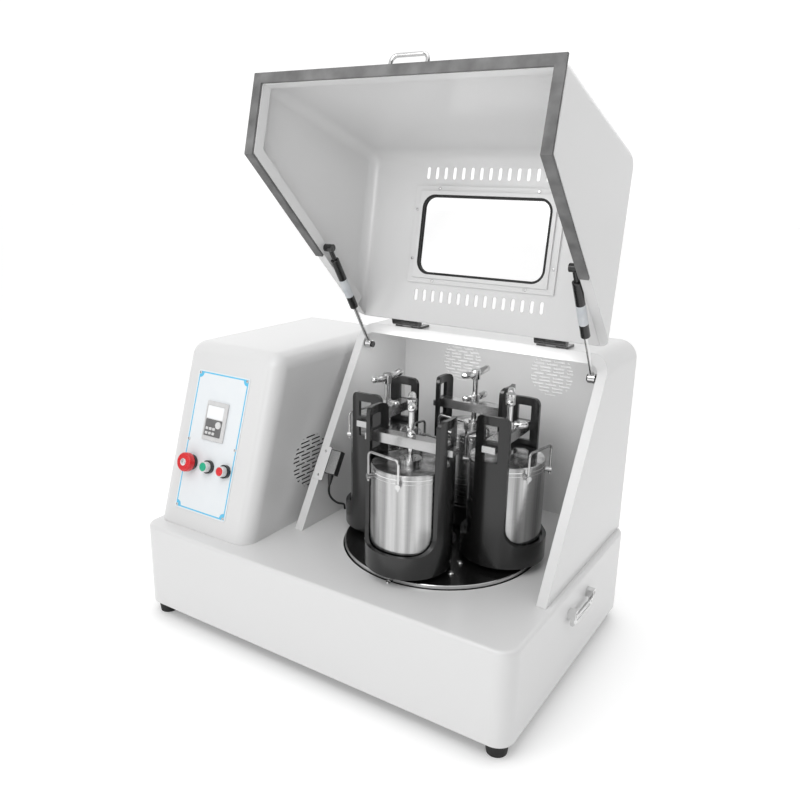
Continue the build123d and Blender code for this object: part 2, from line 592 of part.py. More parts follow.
with BuildPart() as window_frame:
    with BuildSketch(window_plane.offset(LID_WALL)):
        Rectangle(2 * FRAME_HALF_X, 2 * FRAME_HALF_Y)
    extrude(amount=FRAME_THICK)
    with BuildSketch(window_plane.offset(LID_WALL + FRAME_THICK)):
        Rectangle(2 * RAISED_HALF_X, 2 * RAISED_HALF_Y)
    extrude(amount=RAISED_THICK)
    with BuildSketch(window_plane.offset(LID_WALL)):
        RectangleRounded(2 * SEAL_HALF_X, 2 * SEAL_HALF_Y, SEAL_CORNER)
    extrude(amount=FRAME_THICK + RAISED_THICK, mode=Mode.SUBTRACT)
save(window_frame.part, "window_frame")

seal_depth = LID_WALL + FRAME_THICK + RAISED_THICK
with BuildPart() as window_seal:
    with BuildSketch(window_plane):
        RectangleRounded(2 * SEAL_HALF_X, 2 * SEAL_HALF_Y, SEAL_CORNER)
        RectangleRounded(
            2 * (SEAL_HALF_X - SEAL_WIDTH),
            2 * (SEAL_HALF_Y - SEAL_WIDTH),
            SEAL_CORNER - SEAL_WIDTH,
            mode=Mode.SUBTRACT,
        )
    extrude(amount=seal_depth)
    with BuildSketch(window_plane.offset(PANE_DEPTH)):
        RectangleRounded(
            2 * (SEAL_HALF_X - SEAL_GROOVE),
            2 * (SEAL_HALF_Y - SEAL_GROOVE),
            SEAL_CORNER - SEAL_GROOVE,
        )
    extrude(amount=PANE_THICK, mode=Mode.SUBTRACT)
save(window_seal.part, "window_seal")

with BuildPart() as window_pane:
    with BuildSketch(window_plane.offset(PANE_DEPTH)):
        RectangleRounded(
            2 * (SEAL_HALF_X - SEAL_GROOVE),
            2 * (SEAL_HALF_Y - SEAL_GROOVE),
            SEAL_CORNER - SEAL_GROOVE,
        )
    extrude(amount=PANE_THICK)
save(window_pane.part, "window_pane")

handle_foot = in_space(lid_toe + up_front * LID_HANDLE_FROM_TOE, HOOD_X)
handle_seat = swung(Plane(origin=handle_foot, x_dir=(1, 0, 0), z_dir=in_space(off_front)))
handle_bow = Plane(
    origin=handle_seat.origin,
    x_dir=handle_seat.x_dir,
    z_dir=handle_seat.x_dir.cross(handle_seat.z_dir),
)
with BuildPart() as lid_handle:
    with BuildLine(handle_bow):
        FilletPolyline(
            (-LID_HANDLE_SPAN / 2, 0),
            (-LID_HANDLE_SPAN / 2, LID_HANDLE_REACH),
            (LID_HANDLE_SPAN / 2, LID_HANDLE_REACH),
            (LID_HANDLE_SPAN / 2, 0),
            radius=LID_HANDLE_BEND,
        )
    with BuildSketch(handle_seat):
        with Locations((-LID_HANDLE_SPAN / 2, 0)):
            Circle(LID_HANDLE_RADIUS)
    sweep()
    with BuildSketch(handle_seat):
        with GridLocations(LID_HANDLE_SPAN, 0, 2, 1):
            Circle(LID_HANDLE_FOOT_RADIUS)
    extrude(amount=LID_HANDLE_FOOT)
save(lid_handle.part, "lid_handle")


# ============================================================ hinges, struts
def hinge_leaf(root, along, away, length=LEAF_DEPTH):
    """Side view of a flat leaf from its root, the given length long."""
    tip = root + along * length
    lid_outline(root, tip, tip + away * LEAF_THICK, root + away * LEAF_THICK)


def knuckle_arm(root, along, away):
    """Side view of the knuckle joined to the root of its leaf."""
    hinge_leaf(root, along, away, LEAF_ROOT)
    with Locations((HINGE_Y, HINGE_Z)):
        Circle(KNUCKLE_RADIUS)
    make_hull()


lower_root = Vector(LOWER_LEAF_Y, HOOD_TOP_Z)
backward, upward = Vector(1, 0), Vector(0, 1)
with BuildPart() as hood_fittings:
    for side in (-1, 1):
        hinge_x = HOOD_X + side * HINGE_OFFSET
        with BuildSketch(Plane.YZ.offset(hinge_x)):
            hinge_leaf(lower_root, backward, upward)
        extrude(amount=HINGE_WIDTH / 2, both=True)
        with BuildSketch(Plane.YZ.offset(hinge_x)):
            knuckle_arm(lower_root, backward, upward)
        extrude(amount=HINGE_FINGER / 2, both=True)
        with BuildSketch(Plane.YZ.offset(hinge_x)):
            with Locations((HINGE_Y, HINGE_Z)):
                Circle(HINGE_PIN_RADIUS)
        extrude(amount=HINGE_WIDTH / 2, both=True)
        # Stud on the wing's inner wall: washer, pin and head.
        with BuildSketch(Plane.YZ.offset(HOOD_X + side * CHAMBER_HALF)):
            with Locations((STRUT_LOWER_Y, STRUT_LOWER_Z)):
                Circle(STUD_WASHER_RADIUS)
        extrude(amount=-side * (CHAMBER_HALF - STRUT_OFFSET - EYE_HALF - GAP))
        with BuildSketch(Plane.YZ.offset(HOOD_X + side * CHAMBER_HALF)):
            with Locations((STRUT_LOWER_Y, STRUT_LOWER_Z)):
                Circle(STUD_RADIUS)
        extrude(amount=-side * (CHAMBER_HALF - STRUT_OFFSET + EYE_HALF + GAP + STUD_HEAD))
        with BuildSketch(Plane.YZ.offset(HOOD_X + side * (STRUT_OFFSET - EYE_HALF - GAP))):
            with Locations((STRUT_LOWER_Y, STRUT_LOWER_Z)):
                Circle(STUD_HEAD_RADIUS)
        extrude(amount=-side * STUD_HEAD)
save(hood_fittings.part, "hood_fittings")

upper_root = lid_rear + along_top * LEAF_SETBACK
with BuildPart() as lid_fittings:
    for side in (-1, 1):
        leaf_side = swung(Plane.YZ.offset(HOOD_X + side * HINGE_OFFSET))
        with BuildSketch(leaf_side):
            hinge_leaf(upper_root, along_top, off_top)
        extrude(amount=HINGE_WIDTH / 2, both=True)
        with BuildSketch(leaf_side):
            knuckle_arm(upper_root, along_top, off_top)
        extrude(amount=HINGE_WIDTH / 2, both=True)
        with BuildSketch(leaf_side):
            with Locations((HINGE_Y, HINGE_Z)):
                Circle(HINGE_SWEEP_RADIUS)
        extrude(amount=HINGE_FINGER / 2 + GAP, both=True, mode=Mode.SUBTRACT)
        with BuildSketch(leaf_side):
            with Locations((HINGE_Y, HINGE_Z)):
                Circle(HINGE_PIN_RADIUS + RUN)
        extrude(amount=HINGE_WIDTH / 2, both=True, mode=Mode.SUBTRACT)
        # Stud on the return lip, its end just clear of the strut's socket.
        with BuildSketch(swung(Plane.YZ.offset(HOOD_X + side * CHAMBER_HALF))):
            with Locations((STRUT_UPPER_Y, STRUT_UPPER_Z)):
                Circle(SOCKET_RADIUS)
        extrude(amount=-side * (CHAMBER_HALF - STRUT_OFFSET - TUBE_RADIUS - GAP))
save(lid_fittings.part, "lid_fittings")

strut_low = Vector(0, STRUT_LOWER_Y, STRUT_LOWER_Z)
strut_high = lid_side.from_local_coords((STRUT_UPPER_Y, STRUT_UPPER_Z)) - Vector(HOOD_X, 0, 0)
strut_way = (strut_high - strut_low).normalized()
strut_length = (strut_high - strut_low).length
for strut_name, side in (("left", -1), ("right", 1)):
    strut_foot = strut_low + Vector(HOOD_X + side * STRUT_OFFSET, 0, 0)
    strut_head = strut_foot + strut_way * strut_length
    rod_axis = Plane(origin=strut_foot, x_dir=(1, 0, 0), z_dir=strut_way)
    tube_axis = Plane(origin=strut_head, x_dir=(1, 0, 0), z_dir=strut_way * -1)
    eye_plane = Plane(origin=strut_foot, x_dir=strut_way, z_dir=(1, 0, 0))
    socket_plane = Plane(origin=strut_head, x_dir=strut_way, z_dir=(1, 0, 0))
    with BuildPart() as gas_rod:
        with BuildSketch(rod_axis):
            Circle(ROD_RADIUS)
        extrude(amount=ROD_LENGTH)
        with BuildSketch(eye_plane):
            Circle(EYE_RADIUS)
        extrude(amount=EYE_HALF, both=True)
        with BuildSketch(eye_plane):
            Circle(STUD_RADIUS + RUN)
        extrude(amount=EYE_HALF, both=True, mode=Mode.SUBTRACT)
    save(gas_rod.part, f"gas_rod_{strut_name}")
    with BuildPart() as gas_tube:
        with BuildSketch(socket_plane):
            Circle(SOCKET_RADIUS)
        extrude(amount=TUBE_RADIUS, both=True)
        with BuildSketch(tube_axis):
            Circle(NECK_RADIUS)
        extrude(amount=TUBE_END)
        with BuildSketch(tube_axis.offset(TUBE_END)):
            Circle(TUBE_RADIUS)
        extrude(amount=TUBE_LENGTH)
        chamfer(gas_tube.edges().filter_by(GeomType.CIRCLE).group_by(SortBy.RADIUS)[-1], TUBE_EDGE)
        with BuildSketch(tube_axis.offset(TUBE_END + TUBE_BLIND)):
            Circle(ROD_RADIUS + RUN)
        extrude(amount=TUBE_LENGTH - TUBE_BLIND, mode=Mode.SUBTRACT)
    save(gas_tube.part, f"gas_tube_{strut_name}")


# ========================================================= interlock switch
bracket_right = BRACKET_LEFT + BRACKET_WIDTH
switch_left = bracket_right + BRACKET_THICK
switch_middle = switch_left + SWITCH_WIDTH / 2
switch_back = SWITCH_DEPTH - SWITCH_PROUD
gland_way = Vector(0, -sin(radians(GLAND_TILT)), -cos(radians(GLAND_TILT)))
gland_root = strip_plane.from_local_coords(
    (switch_middle, SWITCH_LOW + GLAND_ROOT, SWITCH_PROUD - SWITCH_DEPTH / 2)
)
with BuildPart() as interlock_switch:
    with BuildSketch(strip_plane):
        with Locations((BRACKET_LEFT, BRACKET_LOW)):
            Rectangle(BRACKET_WIDTH, BRACKET_HIGH - BRACKET_LOW, align=Align.MIN)
    extrude(amount=BRACKET_THICK)
    with BuildSketch(strip_plane.offset(BRACKET_THICK)):
        with Locations((bracket_right, SWITCH_LOW)):
            Rectangle(BRACKET_THICK, SWITCH_HIGH - SWITCH_LOW, align=Align.MIN)
    extrude(amount=-BRACKET_LEG)
    with BuildSketch(strip_plane.offset(SWITCH_PROUD)):
        with Locations((switch_left, SWITCH_LOW)):
            Rectangle(SWITCH_WIDTH, SWITCH_HIGH - SWITCH_LOW, align=Align.MIN)
    extrude(amount=-SWITCH_DEPTH)
    with Locations(Plane(origin=gland_root, x_dir=(1, 0, 0), z_dir=gland_way)):
        Cone(
            GLAND_BIG,
            GLAND_SMALL,
            GLAND_LENGTH,
            align=(Align.CENTER, Align.CENTER, Align.MIN),
        )
save(interlock_switch.part, "interlock_switch")

# The switch's cable hangs in a slack bow and goes down through the deck.
cable_start = gland_root + gland_way * GLAND_LENGTH
cable_points = [
    cable_start,
    cable_start + gland_way * CABLE_STRAIGHT,
    Vector(-114, -60, 284),
    Vector(-119, -41, 264),
    Vector(-125, -13, 244),
    Vector(-127.5, 5, 236),
    Vector(-128, 17, 230),
    Vector(-128, 17, DECK_Z),
]
cable_radii = []
for before, corner, after in zip(cable_points, cable_points[1:], cable_points[2:]):
    turn = (corner - before).get_angle(after - corner)
    shorter = min((corner - before).length, (after - corner).length)
    cable_radii.append(CABLE_BEND * shorter / tan(radians(turn / 2)))
print("cable radii:", [round(radius, 1) for radius in cable_radii])
with BuildPart() as interlock_cable:
    with BuildLine():
        cable_route = FilletPolyline(*cable_points, radius=cable_radii)
    with BuildSketch(Plane(origin=cable_start, x_dir=(1, 0, 0), z_dir=gland_way)) as cable_end:
        Circle(CABLE_RADIUS)
    sweep()
cable_fill = interlock_cable.part.volume / (cable_end.sketch.area * cable_route.length)
print("cable length:", round(cable_route.length, 1))
print("cable volume over section times length:", round(cable_fill, 4))
save(interlock_cable.part, "interlock_cable")


# ============================================================= carry handles
lug_places = [(BASE_LENGTH / 2, LUG_Y + side * LUG_SPACING / 2) for side in (-1, 1)]
with BuildPart() as carry_handle_lugs:
    with BuildSketch(Plane.XY.offset(LUG_LOW)):
        with Locations(*lug_places):
            Rectangle(LUG_REACH, LUG_WIDTH, align=(Align.MIN, Align.CENTER))
    extrude(amount=LUG_HIGH - LUG_LOW)
    with BuildSketch(Plane.XY.offset(LUG_LOW)):
        with Locations(*lug_places):
            with Locations((LUG_WEB, 0)):
                Rectangle(
                    LUG_REACH,
                    BAIL_LEG_WIDTH + 2 * GAP,
                    align=(Align.MIN, Align.CENTER),
                )
    extrude(amount=LUG_HIGH - LUG_LOW - LUG_WEB, mode=Mode.SUBTRACT)
    for _, lug_y in lug_places:
        with BuildSketch(Plane.XZ.offset(-lug_y)):
            with Locations((BAIL_X, BAIL_Z)):
                Circle(BAIL_PIN_RADIUS)
        extrude(amount=LUG_WIDTH / 2, both=True)
    mirror(about=Plane.YZ)
save(carry_handle_lugs.part, "carry_handle_lugs")

with BuildPart() as carry_bail_right:
    for _, lug_y in lug_places:
        with BuildSketch(Plane.XZ.offset(-lug_y)):
            with Locations((BAIL_X, BAIL_Z - BAIL_DROP / 2)):
                SlotCenterToCenter(BAIL_DROP, 2 * BAIL_LEG_HALF, rotation=90)
        extrude(amount=BAIL_LEG_WIDTH / 2, both=True)
    with BuildSketch(Plane.XZ.offset(-LUG_Y)):
        with Locations((BAIL_X, BAIL_Z - BAIL_DROP)):
            Circle(BAIL_BAR_RADIUS)
    extrude(amount=LUG_SPACING / 2, both=True)
    with BuildSketch(Plane.XZ.offset(-LUG_Y)):
        with Locations((BAIL_X, BAIL_Z)):
            Circle(BAIL_PIN_RADIUS + RUN)
    extrude(amount=LUG_SPACING, both=True, mode=Mode.SUBTRACT)
save(carry_bail_right.part, "carry_bail_right")

with BuildPart() as carry_bail_left:
    mirror(carry_bail_right.part, about=Plane.YZ)
save(carry_bail_left.part, "carry_bail_left")


# ================================================================ turntable
def ring_stack(x, steps):
    """A turned piece on the upright axis at x from (radius, low, high) steps."""
    for radius, low, high in steps:
        with Locations((x, 0, low)):
            Cylinder(radius, high - low, align=(Align.CENTER, Align.CENTER, Align.MIN))


with BuildPart() as turntable_disc:
    with BuildSketch(Plane.XY.offset(DISC_LOW_Z)):
        with Locations((HOOD_X, 0)):
            Circle(DISC_RADIUS)
    extrude(amount=DISC_THICK)
    chamfer(turntable_disc.edges(), DISC_EDGE)
    with BuildSketch(Plane.XY.offset(DISC_LOW_Z)):
        with Locations((HOOD_X, 0)):
            with PolarLocations(POT_PITCH_RADIUS, POT_COUNT, POT_PHASE):
                Circle(BOSS_RADIUS)
    extrude(amount=-BOSS_DEPTH)
    with BuildSketch(Plane.XY.offset(DISC_TOP_Z)):
        with Locations((HOOD_X, 0)):
            Circle(SHAFT_NECK_RADIUS)
            with PolarLocations(POT_PITCH_RADIUS, POT_COUNT, POT_PHASE):
                Circle(SPINDLE_RADIUS + RUN)
    extrude(amount=-DISC_THICK - BOSS_DEPTH, mode=Mode.SUBTRACT)
save(turntable_disc.part, "turntable_disc")

drive_low = DRIVE_LEVEL_Z - DRIVE_GROOVE / 2
drive_high = DRIVE_LEVEL_Z + DRIVE_GROOVE / 2
with BuildPart() as main_shaft:
    ring_stack(
        HOOD_X,
        (
            (MAIN_SHAFT_RADIUS, drive_low - PULLEY_CHEEK, DISC_LOW_Z),
            (DRIVEN_RADIUS + FLANGE_RISE, drive_low - PULLEY_CHEEK, drive_low),
            (DRIVEN_RADIUS, drive_low, drive_high),
            (DRIVEN_RADIUS + FLANGE_RISE, drive_high, drive_high + PULLEY_CHEEK),
            (SHAFT_FLANGE_RADIUS, DISC_LOW_Z - SHAFT_FLANGE, DISC_LOW_Z),
            (SHAFT_NECK_RADIUS, DISC_LOW_Z, DISC_TOP_Z),
            (SHAFT_CAP_RADIUS, DISC_TOP_Z, DISC_TOP_Z + SHAFT_CAP),
        ),
    )
    with BuildSketch(Plane.XY.offset(DISC_TOP_Z + SHAFT_CAP)):
        with Locations((HOOD_X, 0)):
            RegularPolygon(SHAFT_NUT_RADIUS, 6)
    extrude(amount=SHAFT_NUT)
save(main_shaft.part, "main_shaft")

# Column round the main shaft: bearing bore inside, four fixed belt grooves outside.
levels = [TOP_LEVEL_Z - index * LEVEL_PITCH for index in range(POT_COUNT)]
bridge_top = BRIDGE_LOW_Z + BRIDGE_THICK
with BuildPart() as bearing_housing:
    ring_stack(
        HOOD_X,
        (
            (HOUSING_FOOT_RADIUS, bridge_top, bridge_top + HOUSING_FOOT),
            (HOUSING_RADIUS, bridge_top, HOUSING_TOP_Z),
            (
                SUN_RADIUS + FLANGE_RISE,
                levels[-1] - GROOVE / 2 - PULLEY_CHEEK,
                levels[0] + GROOVE / 2 + PULLEY_CHEEK,
            ),
        ),
    )
    for level in levels:
        with BuildSketch(Plane.XY.offset(level)):
            with Locations((HOOD_X, 0)):
                Circle(SUN_RADIUS + 2 * FLANGE_RISE)
                Circle(SUN_RADIUS, mode=Mode.SUBTRACT)
        extrude(amount=GROOVE / 2, both=True, mode=Mode.SUBTRACT)
    with BuildSketch(Plane.XY.offset(bridge_top)):
        with Locations((HOOD_X, 0)):
            Circle(MAIN_SHAFT_RADIUS + RUN)
    extrude(amount=HOUSING_TOP_Z - bridge_top, mode=Mode.SUBTRACT)
save(bearing_housing.part, "bearing_housing")


def belt_loop(radius_one, radius_two, place_two, thick):
    """Sketch of a flat belt round two pulleys, the first at the origin."""
    with BuildSketch() as outside:
        Circle(radius_one + thick)
        with Locations(place_two):
            Circle(radius_two + thick)
        make_hull()
    with BuildSketch() as inside:
        Circle(radius_one)
        with Locations(place_two):
            Circle(radius_two)
        make_hull()
    return outside.sketch - inside.sketch


pot_places = [
    Pos(HOOD_X, 0, 0) * place
    for place in PolarLocations(POT_PITCH_RADIUS, POT_COUNT, POT_PHASE)
]
with BuildPart() as pot_belts:
    for level, place in zip(levels, pot_places):
        way = place.position - Vector(HOOD_X, 0, 0)
        loop = belt_loop(
            SUN_RADIUS + BELT_GAP, PLANET_RADIUS + BELT_GAP, (way.X, way.Y), BELT_THICK
        )
        with BuildSketch(Plane.XY.offset(level)):
            with Locations((HOOD_X, 0)):
                add(loop)
        extrude(amount=BELT_WIDTH / 2, both=True)
save(pot_belts.part, "pot_belts")

with BuildPart() as drive_belt:
    with BuildSketch(Plane.XY.offset(DRIVE_LEVEL_Z)):
        with Locations((HOOD_X, 0)):
            add(
                belt_loop(
                    DRIVEN_RADIUS + BELT_GAP,
                    MOTOR_PULLEY_RADIUS + BELT_GAP,
                    (MOTOR_X - HOOD_X, 0),
                    BELT_THICK,
                )
            )
    extrude(amount=DRIVE_BELT_WIDTH / 2, both=True)
save(drive_belt.part, "drive_belt")

with BuildPart() as motor:
    ring_stack(
        MOTOR_X,
        (
            (MOTOR_RADIUS, bridge_top, bridge_top + MOTOR_LENGTH),
            (MOTOR_FLANGE_RADIUS, bridge_top, bridge_top + MOTOR_FLANGE),
        ),
    )
    fillet(motor.edges().group_by(Axis.Z)[-1], MOTOR_ROUND)
    with BuildSketch(Plane.XY.offset(bridge_top)):
        with Locations((MOTOR_X, 0)):
            Circle(MOTOR_SHAFT_RADIUS + RUN)
    extrude(amount=MOTOR_SHAFT_BORE + GAP, mode=Mode.SUBTRACT)
save(motor.part, "motor")

with BuildPart() as motor_pulley:
    ring_stack(
        MOTOR_X,
        (
            (MOTOR_SHAFT_RADIUS, drive_low, bridge_top + MOTOR_SHAFT_BORE),
            (MOTOR_PULLEY_RADIUS + FLANGE_RISE, drive_low - PULLEY_CHEEK, drive_low),
            (MOTOR_PULLEY_RADIUS, drive_low, drive_high),
            (MOTOR_PULLEY_RADIUS + FLANGE_RISE, drive_high, drive_high + PULLEY_CHEEK),
        ),
    )
save(motor_pulley.part, "motor_pulley")


# ===================================================================== pots
# One pot is drawn on the upright axis of the origin and set out four times:
# X points away from the turntable's middle, Y along the clamp bar.
def seat_for(level):
    """Pot seat with its spindle and the belt pulley at the given level."""
    with BuildPart() as seat:
        with BuildSketch(Plane.XY.offset(CUP_LOW_Z)):
            Circle(CUP_RADIUS)
        extrude(amount=ARM_TOP_Z - CUP_LOW_Z)
        with BuildSketch(Plane.XZ) as silhouette:
            with Locations((0, CUP_LOW_Z)):
                Rectangle(2 * CUP_RADIUS, CUP_RIM_Z - CUP_LOW_Z, align=(Align.CENTER, Align.MIN))
                Rectangle(ARM_WIDTH, ARM_TOP_Z - CUP_LOW_Z, align=(Align.CENTER, Align.MIN))
            corners = silhouette.vertices().group_by(Axis.Y)
            fillet(corners[-1], ARM_CORNER)
            arm_roots = silhouette.vertices().filter_by(
                lambda corner: abs(corner.Y - CUP_RIM_Z) < NEAR
                and abs(abs(corner.X) - ARM_WIDTH / 2) < NEAR
            )
            fillet(arm_roots, ARM_ROOT_RADIUS)
        extrude(amount=CUP_RADIUS, both=True, mode=Mode.INTERSECT)
        with BuildSketch(Plane.XY.offset(CUP_FLOOR_Z)):
            Circle(CUP_BORE)
        extrude(amount=ARM_TOP_Z - CUP_FLOOR_Z, mode=Mode.SUBTRACT)
        with BuildSketch(Plane.XY.offset(CUP_LOW_Z)):
            Circle(CUP_BORE)
        extrude(amount=CUP_FLOOR_Z - CUP_FLOOR - CUP_LOW_Z, mode=Mode.SUBTRACT)
        with BuildSketch(Plane.XZ):
            for low, high in (
                (UPPER_WINDOW_LOW, UPPER_WINDOW_HIGH),
                (LOWER_WINDOW_LOW, LOWER_WINDOW_HIGH),
            ):
                with Locations((0, low)):
                    Rectangle(ARM_WINDOW, high - low, align=(Align.CENTER, Align.MIN))
        extrude(amount=CUP_RADIUS, both=True, mode=Mode.SUBTRACT)
        ring_stack(
            0,
            (
                (CUP_HUB_RADIUS, DISC_TOP_Z + GAP, CUP_FLOOR_Z - CUP_FLOOR),
                (SPINDLE_RADIUS, level - GROOVE / 2 - PULLEY_CHEEK, CUP_FLOOR_Z - CUP_FLOOR),
                (
                    PLANET_RADIUS + FLANGE_RISE,
                    level - GROOVE / 2 - PULLEY_CHEEK,
                    level - GROOVE / 2,
                ),
                (PLANET_RADIUS, level - GROOVE / 2, level + GROOVE / 2),
                (
                    PLANET_RADIUS + FLANGE_RISE,
                    level + GROOVE / 2,
                    level + GROOVE / 2 + PULLEY_CHEEK,
                ),
            ),
        )
    return seat.part


jar_top = CUP_FLOOR_Z + JAR_HEIGHT
with BuildPart() as jar:
    with BuildSketch(Plane.XY.offset(CUP_FLOOR_Z)):
        Circle(JAR_RADIUS)
    extrude(amount=JAR_HEIGHT)
    chamfer(jar.edges().group_by(Axis.Z)[0], JAR_CHAMFER)
    with BuildSketch(Plane.XY.offset(jar_top)):
        Circle(JAR_BORE)
    extrude(amount=JAR_FLOOR - JAR_HEIGHT, mode=Mode.SUBTRACT)
    fillet(jar.faces().filter_by(Axis.Z).sort_by(Axis.Z)[1].edges(), JAR_CHAMFER)
    # Two upright wire handles, each held by two lugs on the jar's side.
    for turn in (WIRE_TURN, WIRE_TURN + 180):
        facing = Plane(
            origin=Vector(WIRE_DISTANCE, 0, CUP_FLOOR_Z).rotate(Axis.Z, turn),
            x_dir=Vector(0, 1, 0).rotate(Axis.Z, turn),
            z_dir=Vector(1, 0, 0).rotate(Axis.Z, turn),
        )
        with BuildLine(facing):
            FilletPolyline(
                (-WIRE_HALF, WIRE_LOW),
                (-WIRE_HALF, WIRE_HIGH),
                (WIRE_HALF, WIRE_HIGH),
                (WIRE_HALF, WIRE_LOW),
                radius=WIRE_BEND,
            )
        with BuildSketch(
            Plane(
                origin=facing.from_local_coords((-WIRE_HALF, WIRE_LOW)),
                x_dir=facing.x_dir,
                z_dir=(0, 0, 1),
            )
        ):
            Circle(WIRE_RADIUS)
        sweep()
        for side in (-1, 1):
            lug_end = facing.from_local_coords((side * WIRE_HALF, WIRE_LUG))
            lug_way = Vector(lug_end.X, lug_end.Y, 0).normalized()
            lug_end += lug_way * (WIRE_RADIUS + WIRE_LUG_CAP)
            with BuildSketch(Plane(origin=lug_end, z_dir=lug_way)):
                Circle(WIRE_LUG_RADIUS)
            extrude(amount=-WIRE_LUG_LENGTH)

with BuildPart() as jar_lid:
    ring_stack(
        0,
        (
            (JAR_RADIUS, jar_top, jar_top + JAR_LID_THICK),
            (JAR_BORE - JAR_SPIGOT_GAP, jar_top - JAR_SPIGOT, jar_top),
        ),
    )
    chamfer(jar_lid.edges().group_by(Axis.Z)[-1], JAR_LID_EDGE)

with BuildPart() as clamp_bar:
    with BuildSketch(Plane.XY.offset(BAR_LOW_Z)):
        Rectangle(BAR_WIDTH, 2 * TONGUE_HALF)
    extrude(amount=BAR_TONGUE)
    with BuildSketch(Plane.XY.offset(BAR_LOW_Z)):
        Rectangle(BAR_WIDTH, 2 * BAR_HALF)
    extrude(amount=BAR_BODY)
    with BuildSketch(Plane.XY.offset(BAR_LOW_Z)):
        Circle(SCREW_RADIUS + RUN)
    extrude(amount=BAR_BODY, mode=Mode.SUBTRACT)


def winged_hub(hub_low, hub_high, reach, rise):
    """Turned hub with two tapered wings that rise to round ends."""
    ring_stack(0, ((SCREW_HUB_RADIUS, hub_low, hub_high),))
    for side in (-1, 1):
        with BuildSketch(Plane.XZ) as wing:
            with Locations((0, (hub_low + hub_high) / 2)):
                Circle(WING_ROOT)
                with Locations((side * (reach - WING_TIP), rise)):
                    Circle(WING_TIP)
            make_hull()
        extrude(wing.sketch, amount=WING_THICK / 2, both=True)


foot_low = jar_top + JAR_LID_THICK
with BuildPart() as clamp_screw:
    winged_hub(SCREW_HUB_LOW, SCREW_HUB_HIGH, SCREW_WING_REACH, SCREW_WING_RISE)
    ring_stack(
        0,
        (
            (FOOT_DISC_RADIUS, foot_low + GAP, foot_low + GAP + FOOT_DISC),
            (FOOT_BOSS_RADIUS, foot_low + GAP, foot_low + GAP + FOOT_DISC + FOOT_BOSS),
            (SCREW_RADIUS, foot_low + GAP, SCREW_HUB_HIGH),
        ),
    )

with BuildPart() as lock_nut:
    winged_hub(BAR_LOW_Z + BAR_BODY + GAP, NUT_HUB_HIGH, NUT_WING_REACH, NUT_WING_RISE)
    with BuildSketch(Plane.XY.offset(BAR_LOW_Z)):
        Circle(SCREW_RADIUS + RUN)
    extrude(amount=NUT_HUB_HIGH - BAR_LOW_Z, mode=Mode.SUBTRACT)

for number, (place, level) in enumerate(zip(pot_places, levels), start=1):
    screw_turn = Rot(Z=SCREW_WING_TURNS[number - 1])
    nut_turn = Rot(Z=NUT_WING_TURNS[number - 1])
    save(place * seat_for(level), f"pot_seat_{number}")
    save(place * jar.part, f"jar_{number}")
    save(place * jar_lid.part, f"jar_lid_{number}")
    save(place * clamp_bar.part, f"clamp_bar_{number}")
    save(place * screw_turn * clamp_screw.part, f"clamp_screw_{number}")
    save(place * nut_turn * lock_nut.part, f"lock_nut_{number}")
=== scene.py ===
"""Looks of the planetary ball mill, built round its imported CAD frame.

Metres, in the CAD row frame: +X right, +Y back, +Z up, the lid open at rest.
"""

import json
from math import cos, pi, radians, sin, tan

import bmesh
import bpy
from mathutils import Matrix, Vector


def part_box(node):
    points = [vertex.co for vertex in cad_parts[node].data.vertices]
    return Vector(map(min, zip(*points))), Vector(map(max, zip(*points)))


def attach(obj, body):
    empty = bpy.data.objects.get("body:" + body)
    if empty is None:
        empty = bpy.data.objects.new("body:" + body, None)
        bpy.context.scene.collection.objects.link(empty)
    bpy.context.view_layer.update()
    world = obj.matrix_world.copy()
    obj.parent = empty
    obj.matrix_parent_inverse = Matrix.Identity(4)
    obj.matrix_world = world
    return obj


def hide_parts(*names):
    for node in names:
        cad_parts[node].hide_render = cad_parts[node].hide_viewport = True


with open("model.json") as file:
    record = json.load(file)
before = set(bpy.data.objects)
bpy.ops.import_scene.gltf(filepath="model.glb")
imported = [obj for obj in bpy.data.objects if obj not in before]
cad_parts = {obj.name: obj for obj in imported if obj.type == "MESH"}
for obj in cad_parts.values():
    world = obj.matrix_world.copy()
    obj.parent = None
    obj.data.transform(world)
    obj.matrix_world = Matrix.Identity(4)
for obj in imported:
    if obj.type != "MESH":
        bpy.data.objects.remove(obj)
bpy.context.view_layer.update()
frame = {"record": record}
MM = 0.001

# ------------------------------------------------------------------ sizes
# Lengths and places below are in millimetres, except a light's or a material's.
DECK_Z = 218
HOOD_X, HOOD_HALF, HOOD_TOP_Z = 141, 296, 646
STRIP_SLANT, STRIP_FOOT_Y = 30.6, -130.8
LID_OPENING, HINGE_Y, HINGE_Z = 103.5, 116.9, 659
PANEL_FOOT_Y, PANEL_TILT, LABEL_THICK = -264.5, 17.7, 1.2
DISC_TOP_Z = 226
POT_PITCH_RADIUS, POT_PHASE = 141, -88


def mm(x, y, z):
    """A point given in millimetres, in metres."""
    return Vector((x, y, z)) * MM


# ================================================================= camera
CAMERA_AT = mm(880, -1343.5, 972)
CAMERA_YAW, CAMERA_PITCH, CAMERA_ROLL = 32.32, 16.03, 1.18
FOCAL_PIXELS, IMAGE_PIXELS, SENSOR = 779.4, 800, 36

